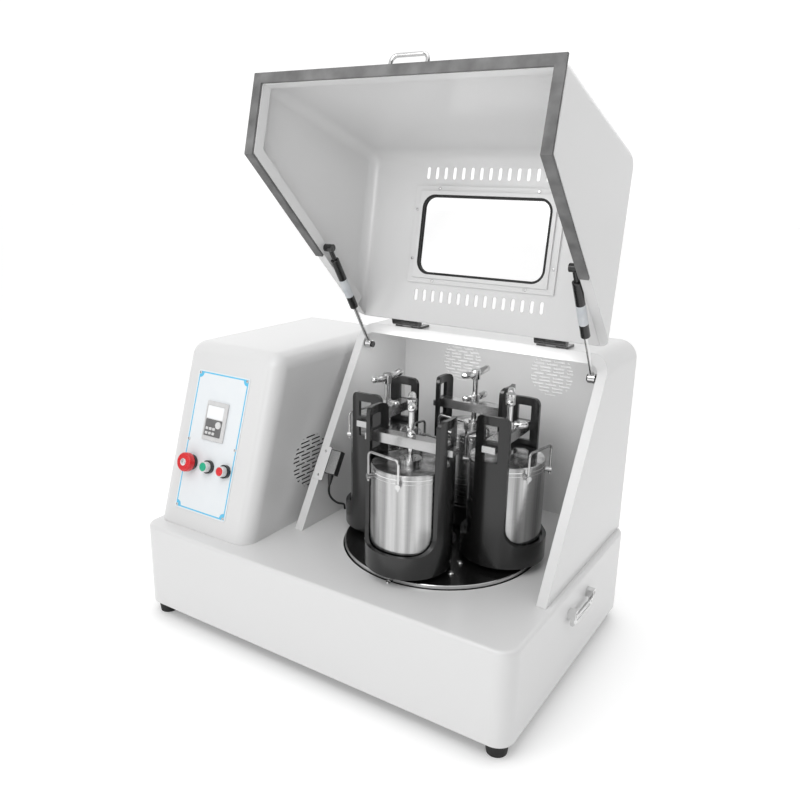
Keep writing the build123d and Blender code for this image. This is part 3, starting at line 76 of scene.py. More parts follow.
yaw, pitch, roll = (radians(a) for a in (CAMERA_YAW, CAMERA_PITCH, CAMERA_ROLL))
forward = Vector((-sin(yaw) * cos(pitch), cos(yaw) * cos(pitch), -sin(pitch)))
level_right = Vector((cos(yaw), sin(yaw), 0))
level_up = level_right.cross(forward)
right = level_right * cos(roll) + level_up * sin(roll)
up = level_up * cos(roll) - level_right * sin(roll)
camera_data = bpy.data.cameras.new("camera")
camera_data.sensor_width = SENSOR
camera_data.lens = SENSOR * FOCAL_PIXELS / IMAGE_PIXELS
camera = bpy.data.objects.new("camera", camera_data)
bpy.context.collection.objects.link(camera)
turned_camera = Matrix((right, up, -forward)).transposed().to_4x4()
camera.matrix_world = Matrix.Translation(CAMERA_AT) @ turned_camera
bpy.context.scene.camera = camera


# ============================================================== materials
def material(name, colour, roughness, metallic=0.0, **sockets):
    """A Principled material and its shader node, constants on its sockets."""
    made = bpy.data.materials.new(name)
    made.use_nodes = True
    shader = made.node_tree.nodes["Principled BSDF"]
    shader.inputs["Base Color"].default_value = (*colour, 1)
    shader.inputs["Roughness"].default_value = roughness
    shader.inputs["Metallic"].default_value = metallic
    for socket, value in sockets.items():
        shader.inputs[socket.replace("_", " ")].default_value = value
    return made


def shader_of(made):
    """The Principled shader of a material."""
    return made.node_tree.nodes["Principled BSDF"]


def noise(made, scale, stretch=(1, 1, 1), turn=0.0, detail=3.0, about=(0, 0, 0)):
    """Noise in object space, stretched along the turned axes; its output socket."""
    nodes, links = made.node_tree.nodes, made.node_tree.links
    coords = nodes.new("ShaderNodeTexCoord")
    mapping = nodes.new("ShaderNodeMapping")
    mapping.vector_type = "TEXTURE"
    mapping.inputs["Location"].default_value = about
    mapping.inputs["Rotation"].default_value = (0, 0, turn)
    mapping.inputs["Scale"].default_value = stretch
    texture = nodes.new("ShaderNodeTexNoise")
    texture.inputs["Scale"].default_value = scale
    texture.inputs["Detail"].default_value = detail
    links.new(coords.outputs["Object"], mapping.inputs["Vector"])
    links.new(mapping.outputs["Vector"], texture.inputs["Vector"])
    return texture.outputs["Fac"]


def ramp(made, value, low, high):
    """Value from 0 to 1 carried over to the range low to high."""
    spread = made.node_tree.nodes.new("ShaderNodeMapRange")
    spread.inputs["From Min"].default_value = 0.3
    spread.inputs["From Max"].default_value = 0.7
    spread.inputs["To Min"].default_value = low
    spread.inputs["To Max"].default_value = high
    made.node_tree.links.new(value, spread.inputs["Value"])
    return spread.outputs["Result"]


def vary_roughness(made, value, low, high):
    """Roughness from low to high by the value."""
    made.node_tree.links.new(ramp(made, value, low, high), shader_of(made).inputs["Roughness"])


def vary_colour(made, value, one, other):
    """Base colour mixed from one to the other by the value."""
    mix = made.node_tree.nodes.new("ShaderNodeMix")
    mix.data_type = "RGBA"
    mix.inputs["A"].default_value = (*one, 1)
    mix.inputs["B"].default_value = (*other, 1)
    made.node_tree.links.new(ramp(made, value, 0, 1), mix.inputs["Factor"])
    made.node_tree.links.new(mix.outputs["Result"], shader_of(made).inputs["Base Color"])


def bump(made, value, depth, strength=1.0):
    """Bump of a real depth in metres, added to what the normal already has."""
    nodes, links = made.node_tree.nodes, made.node_tree.links
    relief = nodes.new("ShaderNodeBump")
    relief.inputs["Strength"].default_value = strength
    relief.inputs["Distance"].default_value = depth
    links.new(value, relief.inputs["Height"])
    normal = shader_of(made).inputs["Normal"]
    if normal.is_linked:
        links.new(normal.links[0].from_socket, relief.inputs["Normal"])
    links.new(relief.outputs["Normal"], normal)


def soften_edges(made, radius):
    """Edges shade as if rounded to the radius."""
    soft = made.node_tree.nodes.new("ShaderNodeBevel")
    soft.samples = 4
    soft.inputs["Radius"].default_value = radius
    made.node_tree.links.new(soft.outputs["Normal"], shader_of(made).inputs["Normal"])


def grey(level):
    return (level, level, level)


def powder_coat(name, colour, dusty, roughness=0.28, peel=0.00001):
    """Glossy paint: soft edges, faint orange peel, slight dulling in broad patches."""
    made = material(name, colour, roughness, Coat_Weight=0.3, Coat_Roughness=0.15)
    soften_edges(made, 0.0012)
    bump(made, noise(made, 300, detail=1.0), peel, 0.3)
    vary_colour(made, noise(made, 1.6, detail=1.0), colour, dusty)
    vary_roughness(made, noise(made, 6.0), roughness, roughness + 0.015)
    return made


def rubber(name, level, grain=900, roughness=0.62):
    made = material(name, grey(level), roughness, Specular_IOR_Level=0.35)
    bump(made, noise(made, grain, detail=2.0), 0.00012, 0.5)
    vary_colour(made, noise(made, 30.0), grey(level), grey(level * 1.7 + 0.004))
    return made


def plastic(name, colour, roughness=0.3, worn=None):
    made = material(name, colour, roughness, Coat_Weight=0.2, Coat_Roughness=0.1)
    soften_edges(made, 0.0005)
    bump(made, noise(made, 1500, detail=1.0), 0.00002, 0.3)
    vary_colour(made, noise(made, 40.0), colour, worn or tuple(0.88 * c for c in colour))
    vary_roughness(made, noise(made, 90.0), roughness - 0.05, roughness + 0.08)
    return made


def bright_metal(name, level=0.74, roughness=0.09):
    """Polished plate or stainless, with a faint haze of fine scratches."""
    made = material(name, grey(level), roughness, metallic=1.0)
    soften_edges(made, 0.0004)
    bump(made, noise(made, 350, stretch=(1, 1, 6)), 0.000015, 0.25)
    vary_roughness(made, noise(made, 60.0), roughness - 0.03, roughness + 0.07)
    vary_colour(made, noise(made, 22.0), grey(level), grey(level * 0.9))
    return made


def brushed_metal(name, level, stretch, turn=0.0, roughness=0.24, depth=0.00003):
    """Steel brushed along the long axis of the stretch."""
    made = material(name, grey(level), roughness, metallic=1.0)
    soften_edges(made, 0.0005)
    lines = noise(made, 900, stretch=stretch, turn=turn, detail=2.0)
    bump(made, lines, depth, 0.5)
    vary_roughness(made, lines, roughness - 0.08, roughness + 0.1)
    vary_colour(made, noise(made, 120, stretch=stretch, turn=turn), grey(level), grey(level * 0.82))
    return made


def turned_steel(name, level, roughness=0.22, depth=0.00001):
    """Steel with fine turning rings round its axis, which draw highlights out along it, and
    vertical streaks of painted reflection in its colour.
    """
    made = material(name, grey(level), roughness, metallic=1.0, Anisotropic=0.85)
    soften_edges(made, 0.0004)
    rings = noise(made, 500, stretch=(40, 40, 0.3), detail=2.0)
    bump(made, rings, depth, 0.4)
    vary_roughness(made, rings, roughness - 0.05, roughness + 0.06)
    # Painted reflection: long vertical streaks lighten and darken the base colour, as reflections
    # of the surroundings in the polished wall would.
    painted_reflection_streaks = noise(made, 42, stretch=(1, 1, 40), detail=6.0)
    vary_colour(made, painted_reflection_streaks, grey(level * 1.3), grey(level * 0.22))
    tangent = made.node_tree.nodes.new("ShaderNodeTangent")
    tangent.direction_type = "RADIAL"
    tangent.axis = "Z"
    made.node_tree.links.new(tangent.outputs["Tangent"], shader_of(made).inputs["Tangent"])
    return made


def paint_shade_inside(made, middle, level, margin):
    """Painted shade: paint goes dark on the faces that look towards the middle of a housing."""
    nodes, links = made.node_tree.nodes, made.node_tree.links
    coords = nodes.new("ShaderNodeTexCoord")
    outwards = nodes.new("ShaderNodeVectorMath")
    outwards.operation = "SUBTRACT"
    outwards.inputs[1].default_value = middle
    facing = nodes.new("ShaderNodeVectorMath")
    facing.operation = "DOT_PRODUCT"
    outside = nodes.new("ShaderNodeMath")
    outside.operation = "GREATER_THAN"
    outside.inputs[1].default_value = margin
    mix = nodes.new("ShaderNodeMix")
    mix.data_type = "RGBA"
    mix.inputs["A"].default_value = (*grey(level), 1)
    colour = shader_of(made).inputs["Base Color"]
    links.new(colour.links[0].from_socket, mix.inputs["B"])
    links.new(coords.outputs["Object"], outwards.inputs[0])
    links.new(outwards.outputs["Vector"], facing.inputs[0])
    links.new(coords.outputs["Normal"], facing.inputs[1])
    links.new(facing.outputs["Value"], outside.inputs[0])
    links.new(outside.outputs["Value"], mix.inputs["Factor"])
    links.new(mix.outputs["Result"], colour)


WHITE, DUSTY_WHITE = (0.72, 0.72, 0.72), (0.71, 0.71, 0.71)
looks = {
    "white_paint": powder_coat("white_paint", WHITE, DUSTY_WHITE),
    "frame_paint": powder_coat("frame_paint", grey(0.10), grey(0.08), 0.4),
    "black_paint": powder_coat("black_paint", grey(0.006), grey(0.009), 0.24, 0.00002),
    "foot_rubber": rubber("foot_rubber", 0.012),
    "cast_housing": powder_coat("cast_housing", grey(0.12), grey(0.09), 0.5, 0.0003),
    "motor_paint": powder_coat("motor_paint", (0.13, 0.16, 0.19), (0.10, 0.13, 0.16), 0.4),
    "machined_steel": brushed_metal("machined_steel", 0.55, (1, 1, 0.02)),
    "panel_film": plastic("panel_film", (0.80, 0.83, 0.85), 0.34, (0.78, 0.815, 0.84)),
    "controller_plastic": plastic("controller_plastic", grey(0.66), 0.4),
    "collar_plastic": plastic("collar_plastic", grey(0.012), 0.25),
    "red_plastic": plastic("red_plastic", (0.72, 0.016, 0.022), 0.28, (0.62, 0.012, 0.018)),
    "green_plastic": plastic("green_plastic", (0.005, 0.42, 0.24), 0.3, (0.004, 0.36, 0.2)),
    "switch_plastic": plastic("switch_plastic", grey(0.02), 0.4),
    "cable_rubber": rubber("cable_rubber", 0.01, 1600, 0.45),
    "belt_rubber": rubber("belt_rubber", 0.015),
    "foam_gasket": rubber("foam_gasket", 0.11, 600, 0.85),
    "seal_rubber": rubber("seal_rubber", 0.008, 1200, 0.5),
    "bright_chrome": bright_metal("bright_chrome"),
    "bar_steel": brushed_metal("bar_steel", 0.58, (0.03, 1, 1), radians(POT_PHASE + 90)),
    "jar_steel": turned_steel("jar_steel", 0.54),
}
pane_glass = material("clear_pane", (1.0, 1.0, 1.0), 0.02, Transmission_Weight=1.0, IOR=1.35)
vary_roughness(pane_glass, noise(pane_glass, 8.0), 0.01, 0.04)
looks["clear_pane"] = pane_glass

slot_of = {part["node"]: part["material_slot"] for part in frame["record"]["subparts"]}
for node, slot in slot_of.items():
    slots = bpy.data.objects[node].data.materials
    slots.clear()
    slots.append(looks[slot])

# Painted shade: the control box's inside faces are painted dark, so its vent slots read as shaded.
BOX_MIDDLE, INSIDE_SHADE_GREY, INSIDE_MARGIN = mm(-320, -60, 420), 0.012, 0.06
box_paint_and_shade = powder_coat("box_paint_and_shade", WHITE, DUSTY_WHITE)
paint_shade_inside(box_paint_and_shade, BOX_MIDDLE, INSIDE_SHADE_GREY, INSIDE_MARGIN)
bpy.data.objects["control_box"].data.materials[0] = box_paint_and_shade


# ============================================================ piece making
STEEP = 0.9  # past this a normal is too near Y to lean on it


def standing(origin, normal, along=None):
    """Placement whose Z is the normal and whose X leans towards along."""
    z = Vector(normal).normalized()
    if along is None:
        along = (0, 1, 0) if abs(z.y) < STEEP else (1, 0, 0)
    guide = Vector(along)
    x = (guide - z * guide.dot(z)).normalized()
    return Matrix.Translation(origin) @ Matrix((x, z.cross(x), z)).transposed().to_4x4()


def round_radius(radius, angle):
    """Radius of a circle, at any angle."""
    return radius


def hex_radius(radius, angle):
    """Radius of a hexagon of that corner radius."""
    sixth = pi / 3
    return radius * cos(sixth / 2) / cos(angle % sixth - sixth / 2)


CROSS_SHARE = 0.28  # half the width of a cross recess's arms, by its reach


def cross_radius(radius, angle):
    """Radius of a cross recess of that reach."""
    quarter = pi / 2
    off = (angle + quarter / 2) % quarter - quarter / 2
    half_width = radius * CROSS_SHARE
    return min(radius / cos(off), half_width / max(abs(sin(off)), 1e-6))


def ring_of(work, at, radius, height, sides, outline=round_radius):
    """A ring of new vertices round Z at a height."""
    places = []
    for k in range(sides):
        angle = 2 * pi * k / sides
        reach = outline(radius, angle)
        places.append(work.verts.new(at @ mm(reach * cos(angle), reach * sin(angle), height)))
    return places


def join_rings(work, rings):
    """Faces between each ring and the next."""
    for low, high in zip(rings, rings[1:]):
        for k in range(len(low)):
            after = (k + 1) % len(low)
            work.faces.new((low[k], low[after], high[after], high[k]))


def turned(work, at, profile, sides=32, recess=round_radius, recess_from=None):
    """Adds a turned solid from (radius, height) pairs in mm, from its foot to its top.

    From the recess_from ring on, the rings take the recess's outline.
    """
    rings = []
    for index, (radius, height) in enumerate(profile):
        in_recess = recess_from is not None and index >= recess_from
        rings.append(
            ring_of(work, at, radius, height, sides, recess if in_recess else round_radius)
        )
    join_rings(work, rings)
    work.faces.new(rings[0][::-1])
    work.faces.new(rings[-1])


def band(work, at, profile, sides):
    """Adds a ring turned from a closed outline of (radius, height) pairs in mm."""
    rings = [ring_of(work, at, radius, height, sides) for radius, height in profile]
    join_rings(work, rings + rings[:1])


def plate(work, at, outline, low, high):
    """Adds a flat plate over an outline of (x, y) pairs in mm, between two heights."""
    foot = [work.verts.new(at @ mm(x, y, low)) for x, y in outline]
    head = [work.verts.new(at @ mm(x, y, high)) for x, y in outline]
    count = len(outline)
    for k in range(count):
        work.faces.new((foot[k], foot[(k + 1) % count], head[(k + 1) % count], head[k]))
    work.faces.new(foot[::-1])
    work.faces.new(head)


def rectangle(middle_x, middle_y, width, height):
    """Outline of a rectangle."""
    return [
        (middle_x + sx * width / 2, middle_y + sy * height / 2)
        for sx, sy in ((-1, -1), (1, -1), (1, 1), (-1, 1))
    ]


def rounded(width, height, radius, steps=5):
    """Outline of a rectangle with round corners, about its middle."""
    points = []
    for sx, sy, start in ((1, 1, 0), (-1, 1, 90), (-1, -1, 180), (1, -1, 270)):
        for step in range(steps + 1):
            angle = radians(start + 90 * step / steps)
            points.append((
                sx * (width / 2 - radius) + radius * cos(angle),
                sy * (height / 2 - radius) + radius * sin(angle),
            ))
    return points


SMOOTH_BELOW = 40  # degrees; sharper edges stay sharp


def piece(name, body, look, work, edge=0.0):
    """Turns the work into an object that rides on the body."""
    bmesh.ops.recalc_face_normals(work, faces=work.faces)
    mesh = bpy.data.meshes.new(name)
    work.to_mesh(mesh)
    work.free()
    mesh.materials.append(look)
    made = bpy.data.objects.new(name, mesh)
    bpy.context.collection.objects.link(made)
    if edge:
        rounding = made.modifiers.new("edge", "BEVEL")
        rounding.width = edge * MM
        rounding.segments = 2
        rounding.limit_method = "ANGLE"
    mesh.shade_smooth()
    mesh.set_sharp_from_angle(angle=radians(SMOOTH_BELOW))
    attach(made, body)


HEAD_SIDES = 36


def button_head(radius, height, socket, recess=hex_radius):
    """Profile of a low domed screw head with a recess, and the recess's outline."""
    dome = [
        (radius * cos(radians(a)) * 0.3 + radius * 0.7, height * (0.25 + 0.75 * sin(radians(a))))
        for a in (0, 30, 60, 90)
    ]
    profile = [(radius, -1.0), *dome, (socket * 1.15, height), (socket, height)]
    profile += [(socket, height * 0.35), (socket * 0.2, height * 0.3)]
    return {"profile": profile, "recess": recess, "recess_from": len(profile) - 3}


def heads(name, body, places, head):
    """One object of identical chromed screw heads at several placements."""
    work = bmesh.new()
    for at in places:
        turned(work, at, sides=HEAD_SIDES, **head)
    piece(name, body, looks["bright_chrome"], work)


# ============================================================= frame places
tilt, slant, opening = radians(PANEL_TILT), radians(STRIP_SLANT), radians(LID_OPENING)
panel_out, panel_up = Vector((0, -cos(tilt), sin(tilt))), Vector((0, sin(tilt), cos(tilt)))


def on_panel(x, rise, proud=0.0):
    """Placement on the label's face, Z out of the panel and X to the right."""
    foot = Vector((x, PANEL_FOOT_Y, DECK_Z))
    at = foot + panel_up * rise + panel_out * (LABEL_THICK + proud)
    return standing(at * MM, panel_out, (1, 0, 0))


def of_lid(y, z):
    """A (y, z) point or way of the closed lid turned to the open lid, as (y, z)."""
    return Vector((y * cos(opening) + z * sin(opening), z * cos(opening) - y * sin(opening)))


def lid_point(y, z):
    return of_lid(y - HINGE_Y, z - HINGE_Z) + Vector((HINGE_Y, HINGE_Z))


# ------------------------------------------------------------------ cable
# The route's points are those of part.py: down from the switch's gland, in a
# slack bow across the strip, and through the deck.
CABLE_DIAMETER, CABLE_LENGTH = 0.005, 0.132
CABLE_ROUTE = (
    (-0.11075, -0.0634, 0.31045),
    (-0.11075, -0.06625, 0.29982),
    (-0.114, -0.060, 0.284),
    (-0.119, -0.041, 0.264),
    (-0.125, -0.013, 0.244),
    (-0.1275, 0.005, 0.236),
    (-0.128, 0.017, 0.230),
    (-0.128, 0.017, 0.218),
)
cable_curve = bpy.data.curves.new("cable", "CURVE")
cable_curve.dimensions = "3D"
cable_curve.bevel_depth = CABLE_DIAMETER / 2
cable_curve.bevel_resolution = 4
cable_curve.resolution_u = 16
cable_curve.use_fill_caps = True
line = cable_curve.splines.new("NURBS")
line.points.add(len(CABLE_ROUTE) - 1)
for point, place in zip(line.points, CABLE_ROUTE):
    point.co = (*place, 1)
line.order_u = 3
line.use_endpoint_u = True
cable_curve.materials.append(looks["cable_rubber"])
cable = bpy.data.objects.new("cable", cable_curve)
bpy.context.collection.objects.link(cable)
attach(cable, "chassis")
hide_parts("interlock_cable")

# ================================================================== stage
FLOOR_SIZE = 40
floor_mesh = bpy.data.meshes.new("floor")
half = FLOOR_SIZE / 2
floor_mesh.from_pydata(
    [(-half, -half, 0), (half, -half, 0), (half, half, 0), (-half, half, 0)], [], [(0, 1, 2, 3)]
)
floor = bpy.data.objects.new("floor", floor_mesh)
bpy.context.collection.objects.link(floor)
floor_look = material("floor", grey(0.92), 0.6, Specular_IOR_Level=0.2, Emission_Strength=0.2)
shader_of(floor_look).inputs["Emission Color"].default_value = (1, 1, 1, 1)
vary_roughness(floor_look, noise(floor_look, 3.0), 0.55, 0.65)
floor_mesh.materials.append(floor_look)

# The object is lit by a pale room with the windows and dark walls behind the camera,
# given as (degrees from the front towards the right, brightness).
ROOM = (
    (-180, 1.1), (-110, 1.1), (-84, 0.5), (-64, 0.9), (-48, 0.2), (-32, 1.5), (-18, 0.3),
    (-2, 0.25), (10, 1.7), (24, 0.3), (44, 0.6), (62, 0.08), (84, 0.08), (110, 0.2), (140, 1.1),
    (180, 1.1),
)
CEILING, WALLS_REACH, WALLS_FADE = 0.95, 0.5, 0.3  # brightness, then shares of straight up
BACKDROP = 1.1
HALF_TURN, FULL_TURN = 180, 360

world = bpy.data.worlds.new("studio")
world.use_nodes = True
sky_nodes, sky_links = world.node_tree.nodes, world.node_tree.links


def sky_node(kind, **settings):
    """A node of the world with its settings."""
    made = sky_nodes.new(f"ShaderNode{kind}")
    for setting, value in settings.items():
        setattr(made, setting, value)
    return made


way = sky_node("TexCoord")
parts = sky_node("SeparateXYZ")
backwards = sky_node("Math", operation="MULTIPLY")
backwards.inputs[1].default_value = -1
bearing = sky_node("Math", operation="ARCTAN2")
turn_share = sky_node("MapRange")
turn_share.inputs["From Min"].default_value = -pi
turn_share.inputs["From Max"].default_value = pi
walls = sky_node("ValToRGB")
walls.color_ramp.interpolation = "EASE"
stops = walls.color_ramp.elements
while len(stops) < len(ROOM):
    stops.new(0.5)
for stop, (degrees_right, level) in zip(stops, ROOM):
    stop.position = (degrees_right + HALF_TURN) / FULL_TURN
    stop.color = (*grey(level), 1)
above_walls = sky_node("MapRange")
above_walls.inputs["From Min"].default_value = WALLS_REACH
above_walls.inputs["From Max"].default_value = WALLS_REACH + WALLS_FADE
sky_mix = sky_node("Mix", data_type="RGBA")
sky_mix.inputs["B"].default_value = (*grey(CEILING), 1)
# What is seen past the object is plain white; the room only lights it.
seen = sky_node("LightPath")
backdrop = sky_node("Mix", data_type="RGBA")
backdrop.inputs["B"].default_value = (*grey(BACKDROP), 1)
for start, end in (
    (way.outputs["Generated"], parts.inputs["Vector"]),
    (parts.outputs["Y"], backwards.inputs[0]),
    (parts.outputs["X"], bearing.inputs[0]),
    (backwards.outputs["Value"], bearing.inputs[1]),
    (bearing.outputs["Value"], turn_share.inputs["Value"]),
    (turn_share.outputs["Result"], walls.inputs["Fac"]),
    (parts.outputs["Z"], above_walls.inputs["Value"]),
    (above_walls.outputs["Result"], sky_mix.inputs["Factor"]),
    (walls.outputs["Color"], sky_mix.inputs["A"]),
    (seen.outputs["Is Camera Ray"], backdrop.inputs["Factor"]),
    (sky_mix.outputs["Result"], backdrop.inputs["A"]),
    (backdrop.outputs["Result"], sky_nodes["Background"].inputs["Color"]),
):
    sky_links.new(start, end)
bpy.context.scene.world = world
bpy.context.scene.view_settings.view_transform = "Standard"

# Lamps: name, place, what it faces, width and height, all in metres, and watts.
LAMPS = (
    ("key", (0.5, -3.3, 1.5), (0.1, 0, 0.5), 2.0, 1.4, 8),
    ("top", (0.0, -0.6, 3.4), (0.1, 0, 0.4), 2.0, 2.0, 10),
    ("chamber", (0.1, -1.0, 1.35), (0.14, 0.2, 0.42), 0.9, 0.5, 4),
    ("inside", (0.14, 0.06, 0.60), (0.14, 0.29, 0.45), 0.44, 0.08, 0.4),
    ("behind", (0.14, 1.2, 1.5), (0.14, 0.2, 0.66), 1.0, 0.6, 0.8),
    ("vents", (0.141, 0.2925, 0.548), (0.141, 0.2, 0.548), 0.36, 0.11, 0.12),
)


def softbox(name, at, towards, width, height, watts):
    """A rectangular area light that faces a point."""
    data = bpy.data.lights.new(name, "AREA")
    data.shape = "RECTANGLE"
    data.size, data.size_y = width, height
    data.energy = watts
    lamp = bpy.data.objects.new(name, data)
    bpy.context.collection.objects.link(lamp)
    lamp.location = at
    lamp.rotation_euler = (Vector(towards) - Vector(at)).to_track_quat("-Z", "Y").to_euler()


for lamp in LAMPS:
    softbox(*lamp)


# ============================================================ base, handles
DECK_SCREWS = ((-145, -81.5), (146, -212.5))
deck_places = [standing(mm(x, y, DECK_Z), (0, 0, 1)) for x, y in DECK_SCREWS]
heads("deck_screws", "chassis", deck_places, button_head(5, 2.4, 2.4))

# Ribs round each carry handle's grip.
BAIL_BAR_RADIUS, BAIL_RIBS, BAIL_RIB_PITCH = 5, 15, 5
RIB_PROFILE = ((4.9, -1.7), (5.4, -1.2), (5.7, -0.5), (5.7, 0.5), (5.4, 1.2), (4.9, 1.7))
for side in ("left", "right"):
    low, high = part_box(f"carry_bail_{side}")
    bar_x = (low.x + high.x) / 2 / MM
    bar_z = low.z / MM + BAIL_BAR_RADIUS
    middle_y = (low.y + high.y) / 2 / MM
    work = bmesh.new()
    for rib in range(BAIL_RIBS):
        rib_y = middle_y + (rib - (BAIL_RIBS - 1) / 2) * BAIL_RIB_PITCH
        rib_at = standing(mm(bar_x, rib_y, bar_z), (0, 1, 0), (0, 0, 1))
        turned(work, rib_at, RIB_PROFILE, sides=24)
    piece(f"grip_ribs_{side}", f"carry_bail_{side}", looks["bright_chrome"], work)

# ============================================================ front panel
LABEL_LEFT, LABEL_WIDTH, LABEL_LOW, LABEL_HIGH = -398, 152, 38, 349
BORDER_INSET, BORDER_WIDTH, CORNER_MARK = 3, 3, 11
INK_THICK, INK_SUNK, ARC_STEP = 0.12, 0.1, 15
label_middle = (LABEL_LEFT + LABEL_WIDTH / 2, (LABEL_LOW + LABEL_HIGH) / 2)
half_x = LABEL_WIDTH / 2 - BORDER_INSET
half_y = (LABEL_HIGH - LABEL_LOW) / 2 - BORDER_INSET
inner_x, inner_y = half_x - BORDER_WIDTH, half_y - BORDER_WIDTH
panel_middle = on_panel(*label_middle)
marks = []
for side in (-1, 1):
    marks.append(rectangle(side * (half_x - BORDER_WIDTH / 2), 0, BORDER_WIDTH, 2 * half_y))
    marks.append(rectangle(0, side * (half_y - BORDER_WIDTH / 2), 2 * inner_x, BORDER_WIDTH))
for sx in (-1, 1):
    for sy in (-1, 1):
        arc = [
            (
                sx * (inner_x - CORNER_MARK * cos(radians(a))),
                sy * (inner_y - CORNER_MARK * sin(radians(a))),
            )
            for a in range(0, 91, ARC_STEP)
        ]
        marks.append([(sx * inner_x, sy * inner_y), *arc])
work = bmesh.new()
for mark in marks:
    plate(work, panel_middle, mark, -INK_SUNK, INK_THICK)
border_blue = plastic("border_blue", (0.10, 0.52, 0.80), 0.35, (0.13, 0.56, 0.82))
piece("label_border", "chassis", border_blue, work)

MIDDLE_SCREW_RISE, SCREW_INSET = 193, 6.5
screw_half_x = LABEL_WIDTH / 2 - SCREW_INSET
screw_rises = (LABEL_LOW + SCREW_INSET, MIDDLE_SCREW_RISE, LABEL_HIGH - SCREW_INSET)
panel_places = [
    on_panel(label_middle[0] + sx * screw_half_x, rise) for sx in (-1, 1) for rise in screw_rises
]
heads("panel_screws", "chassis", panel_places, button_head(3.4, 1.7, 1.7, cross_radius))

# Inverter face: a blank white screen over a keypad of plain keys.
SCREEN_LEFT, SCREEN_WIDTH, SCREEN_LOW, SCREEN_HIGH = -349, 50, 209, 277
SCREEN_FLOOR, SCREEN_SHARE = 3.0, 0.44
screen_middle_x = SCREEN_LEFT + SCREEN_WIDTH / 2
# Where the screen ends and the keypad starts.
split = SCREEN_HIGH - (SCREEN_HIGH - SCREEN_LOW) * SCREEN_SHARE
screen_look = plastic("screen_white", (0.93, 0.94, 0.95), 0.12, (0.90, 0.92, 0.93))
keypad_look = plastic("keypad_grey", grey(0.16), 0.45, grey(0.12))
key_look = plastic("key_white", grey(0.72), 0.35)
work = bmesh.new()
plate(
    work,
    on_panel(screen_middle_x, (split + SCREEN_HIGH) / 2),
    rounded(SCREEN_WIDTH - 2, SCREEN_HIGH - split - 2, 2),
    SCREEN_FLOOR - 0.2,
    SCREEN_FLOOR + 0.7,
)
piece("display_screen", "chassis", screen_look, work, edge=0.3)
work = bmesh.new()
plate(
    work,
    on_panel(screen_middle_x, (split + SCREEN_LOW) / 2),
    rounded(SCREEN_WIDTH - 2, split - SCREEN_LOW - 1, 2),
    SCREEN_FLOOR - 0.2,
    SCREEN_FLOOR + 0.4,
)
piece("keypad", "chassis", keypad_look, work, edge=0.2)
KEY_COLUMNS, KEY_ROWS, KEY_PITCH = 3, 2, 10
KEY_LEFT, KEY_LOW, KEY_PROUD = SCREEN_LEFT + 8, SCREEN_LOW + 7, 1.3
DIAL_X, DIAL_RISE, DIAL_RADIUS = screen_middle_x + 14, split - 11, 8
key_outline = rounded(7.5, 6, 1.5)
work = bmesh.new()
for column in range(KEY_COLUMNS):
    for row in range(KEY_ROWS):
        key_at = on_panel(KEY_LEFT + column * KEY_PITCH, KEY_LOW + row * KEY_PITCH)
        plate(work, key_at, key_outline, SCREEN_FLOOR, SCREEN_FLOOR + KEY_PROUD)
turned(
    work,
    on_panel(DIAL_X, DIAL_RISE),
    [(DIAL_RADIUS, SCREEN_FLOOR), (DIAL_RADIUS, SCREEN_FLOOR + 1.5),
     (DIAL_RADIUS - 1, SCREEN_FLOOR + 2.2), (DIAL_RADIUS - 3, SCREEN_FLOOR + 1.6)],
)
piece("keys", "chassis", key_look, work, edge=0.3)

# Push buttons: pale bezels with coloured lenses; the mushroom has a pale centre.
BUTTON_RISE, STOP_KNOB_X, START_X, HALT_X = 143.7, -370, -317.2, -268.1
PUSH_TOP, LENS_RADIUS, KNOB_TOP, KNOB_CENTRE_RADIUS = 20, 9.4, 27, 8
bezel_look = plastic("bezel_white", grey(0.72), 0.25)
centre_look = bright_metal("knob_centre", 0.8, 0.22)
for button, x, look, slot in (
    ("start_button", START_X, looks["green_plastic"], "green_plastic"),
    ("stop_button", HALT_X, looks["red_plastic"], "red_plastic"),
):
    bpy.data.objects[button].data.materials[0] = bezel_look
    work = bmesh.new()
    turned(work, on_panel(x, BUTTON_RISE), [
        (LENS_RADIUS, PUSH_TOP - 0.5),
        (LENS_RADIUS, PUSH_TOP + 0.3),
        (LENS_RADIUS - 0.5, PUSH_TOP + 0.8),
        (LENS_RADIUS * 0.6, PUSH_TOP + 1.2),
        (0.5, PUSH_TOP + 1.35),
    ], sides=48)
    piece(f"{button}_lens", button, look, work)
work = bmesh.new()
turned(work, on_panel(STOP_KNOB_X, BUTTON_RISE), [
    (KNOB_CENTRE_RADIUS, KNOB_TOP - 0.6),
    (KNOB_CENTRE_RADIUS, KNOB_TOP + 0.5),
    (KNOB_CENTRE_RADIUS - 0.8, KNOB_TOP + 1.0),
    (KNOB_CENTRE_RADIUS * 0.5, KNOB_TOP + 1.3),
    (0.5, KNOB_TOP + 1.4),
], sides=48)
piece("knob_centre", "emergency_stop", centre_look, work)

# ================================================================ turntable
disc_edge_look = bright_metal("disc_edge", 0.6, 0.18)
DISC_RADIUS, RIM_SIDES = 206, 160
work = bmesh.new()
band(work, standing(mm(HOOD_X, 0, 0), (0, 0, 1)), [
    (DISC_RADIUS - 3.0, DISC_TOP_Z - 0.2),
    (DISC_RADIUS - 3.0, DISC_TOP_Z + 0.15),
    (DISC_RADIUS - 0.9, DISC_TOP_Z + 0.15),
    (DISC_RADIUS + 0.15, DISC_TOP_Z - 0.9),
    (DISC_RADIUS + 0.15, DECK_Z + 0.4),
    (DISC_RADIUS - 0.6, DECK_Z + 0.4),
], RIM_SIDES)
piece("disc_rim", "turntable", disc_edge_look, work)

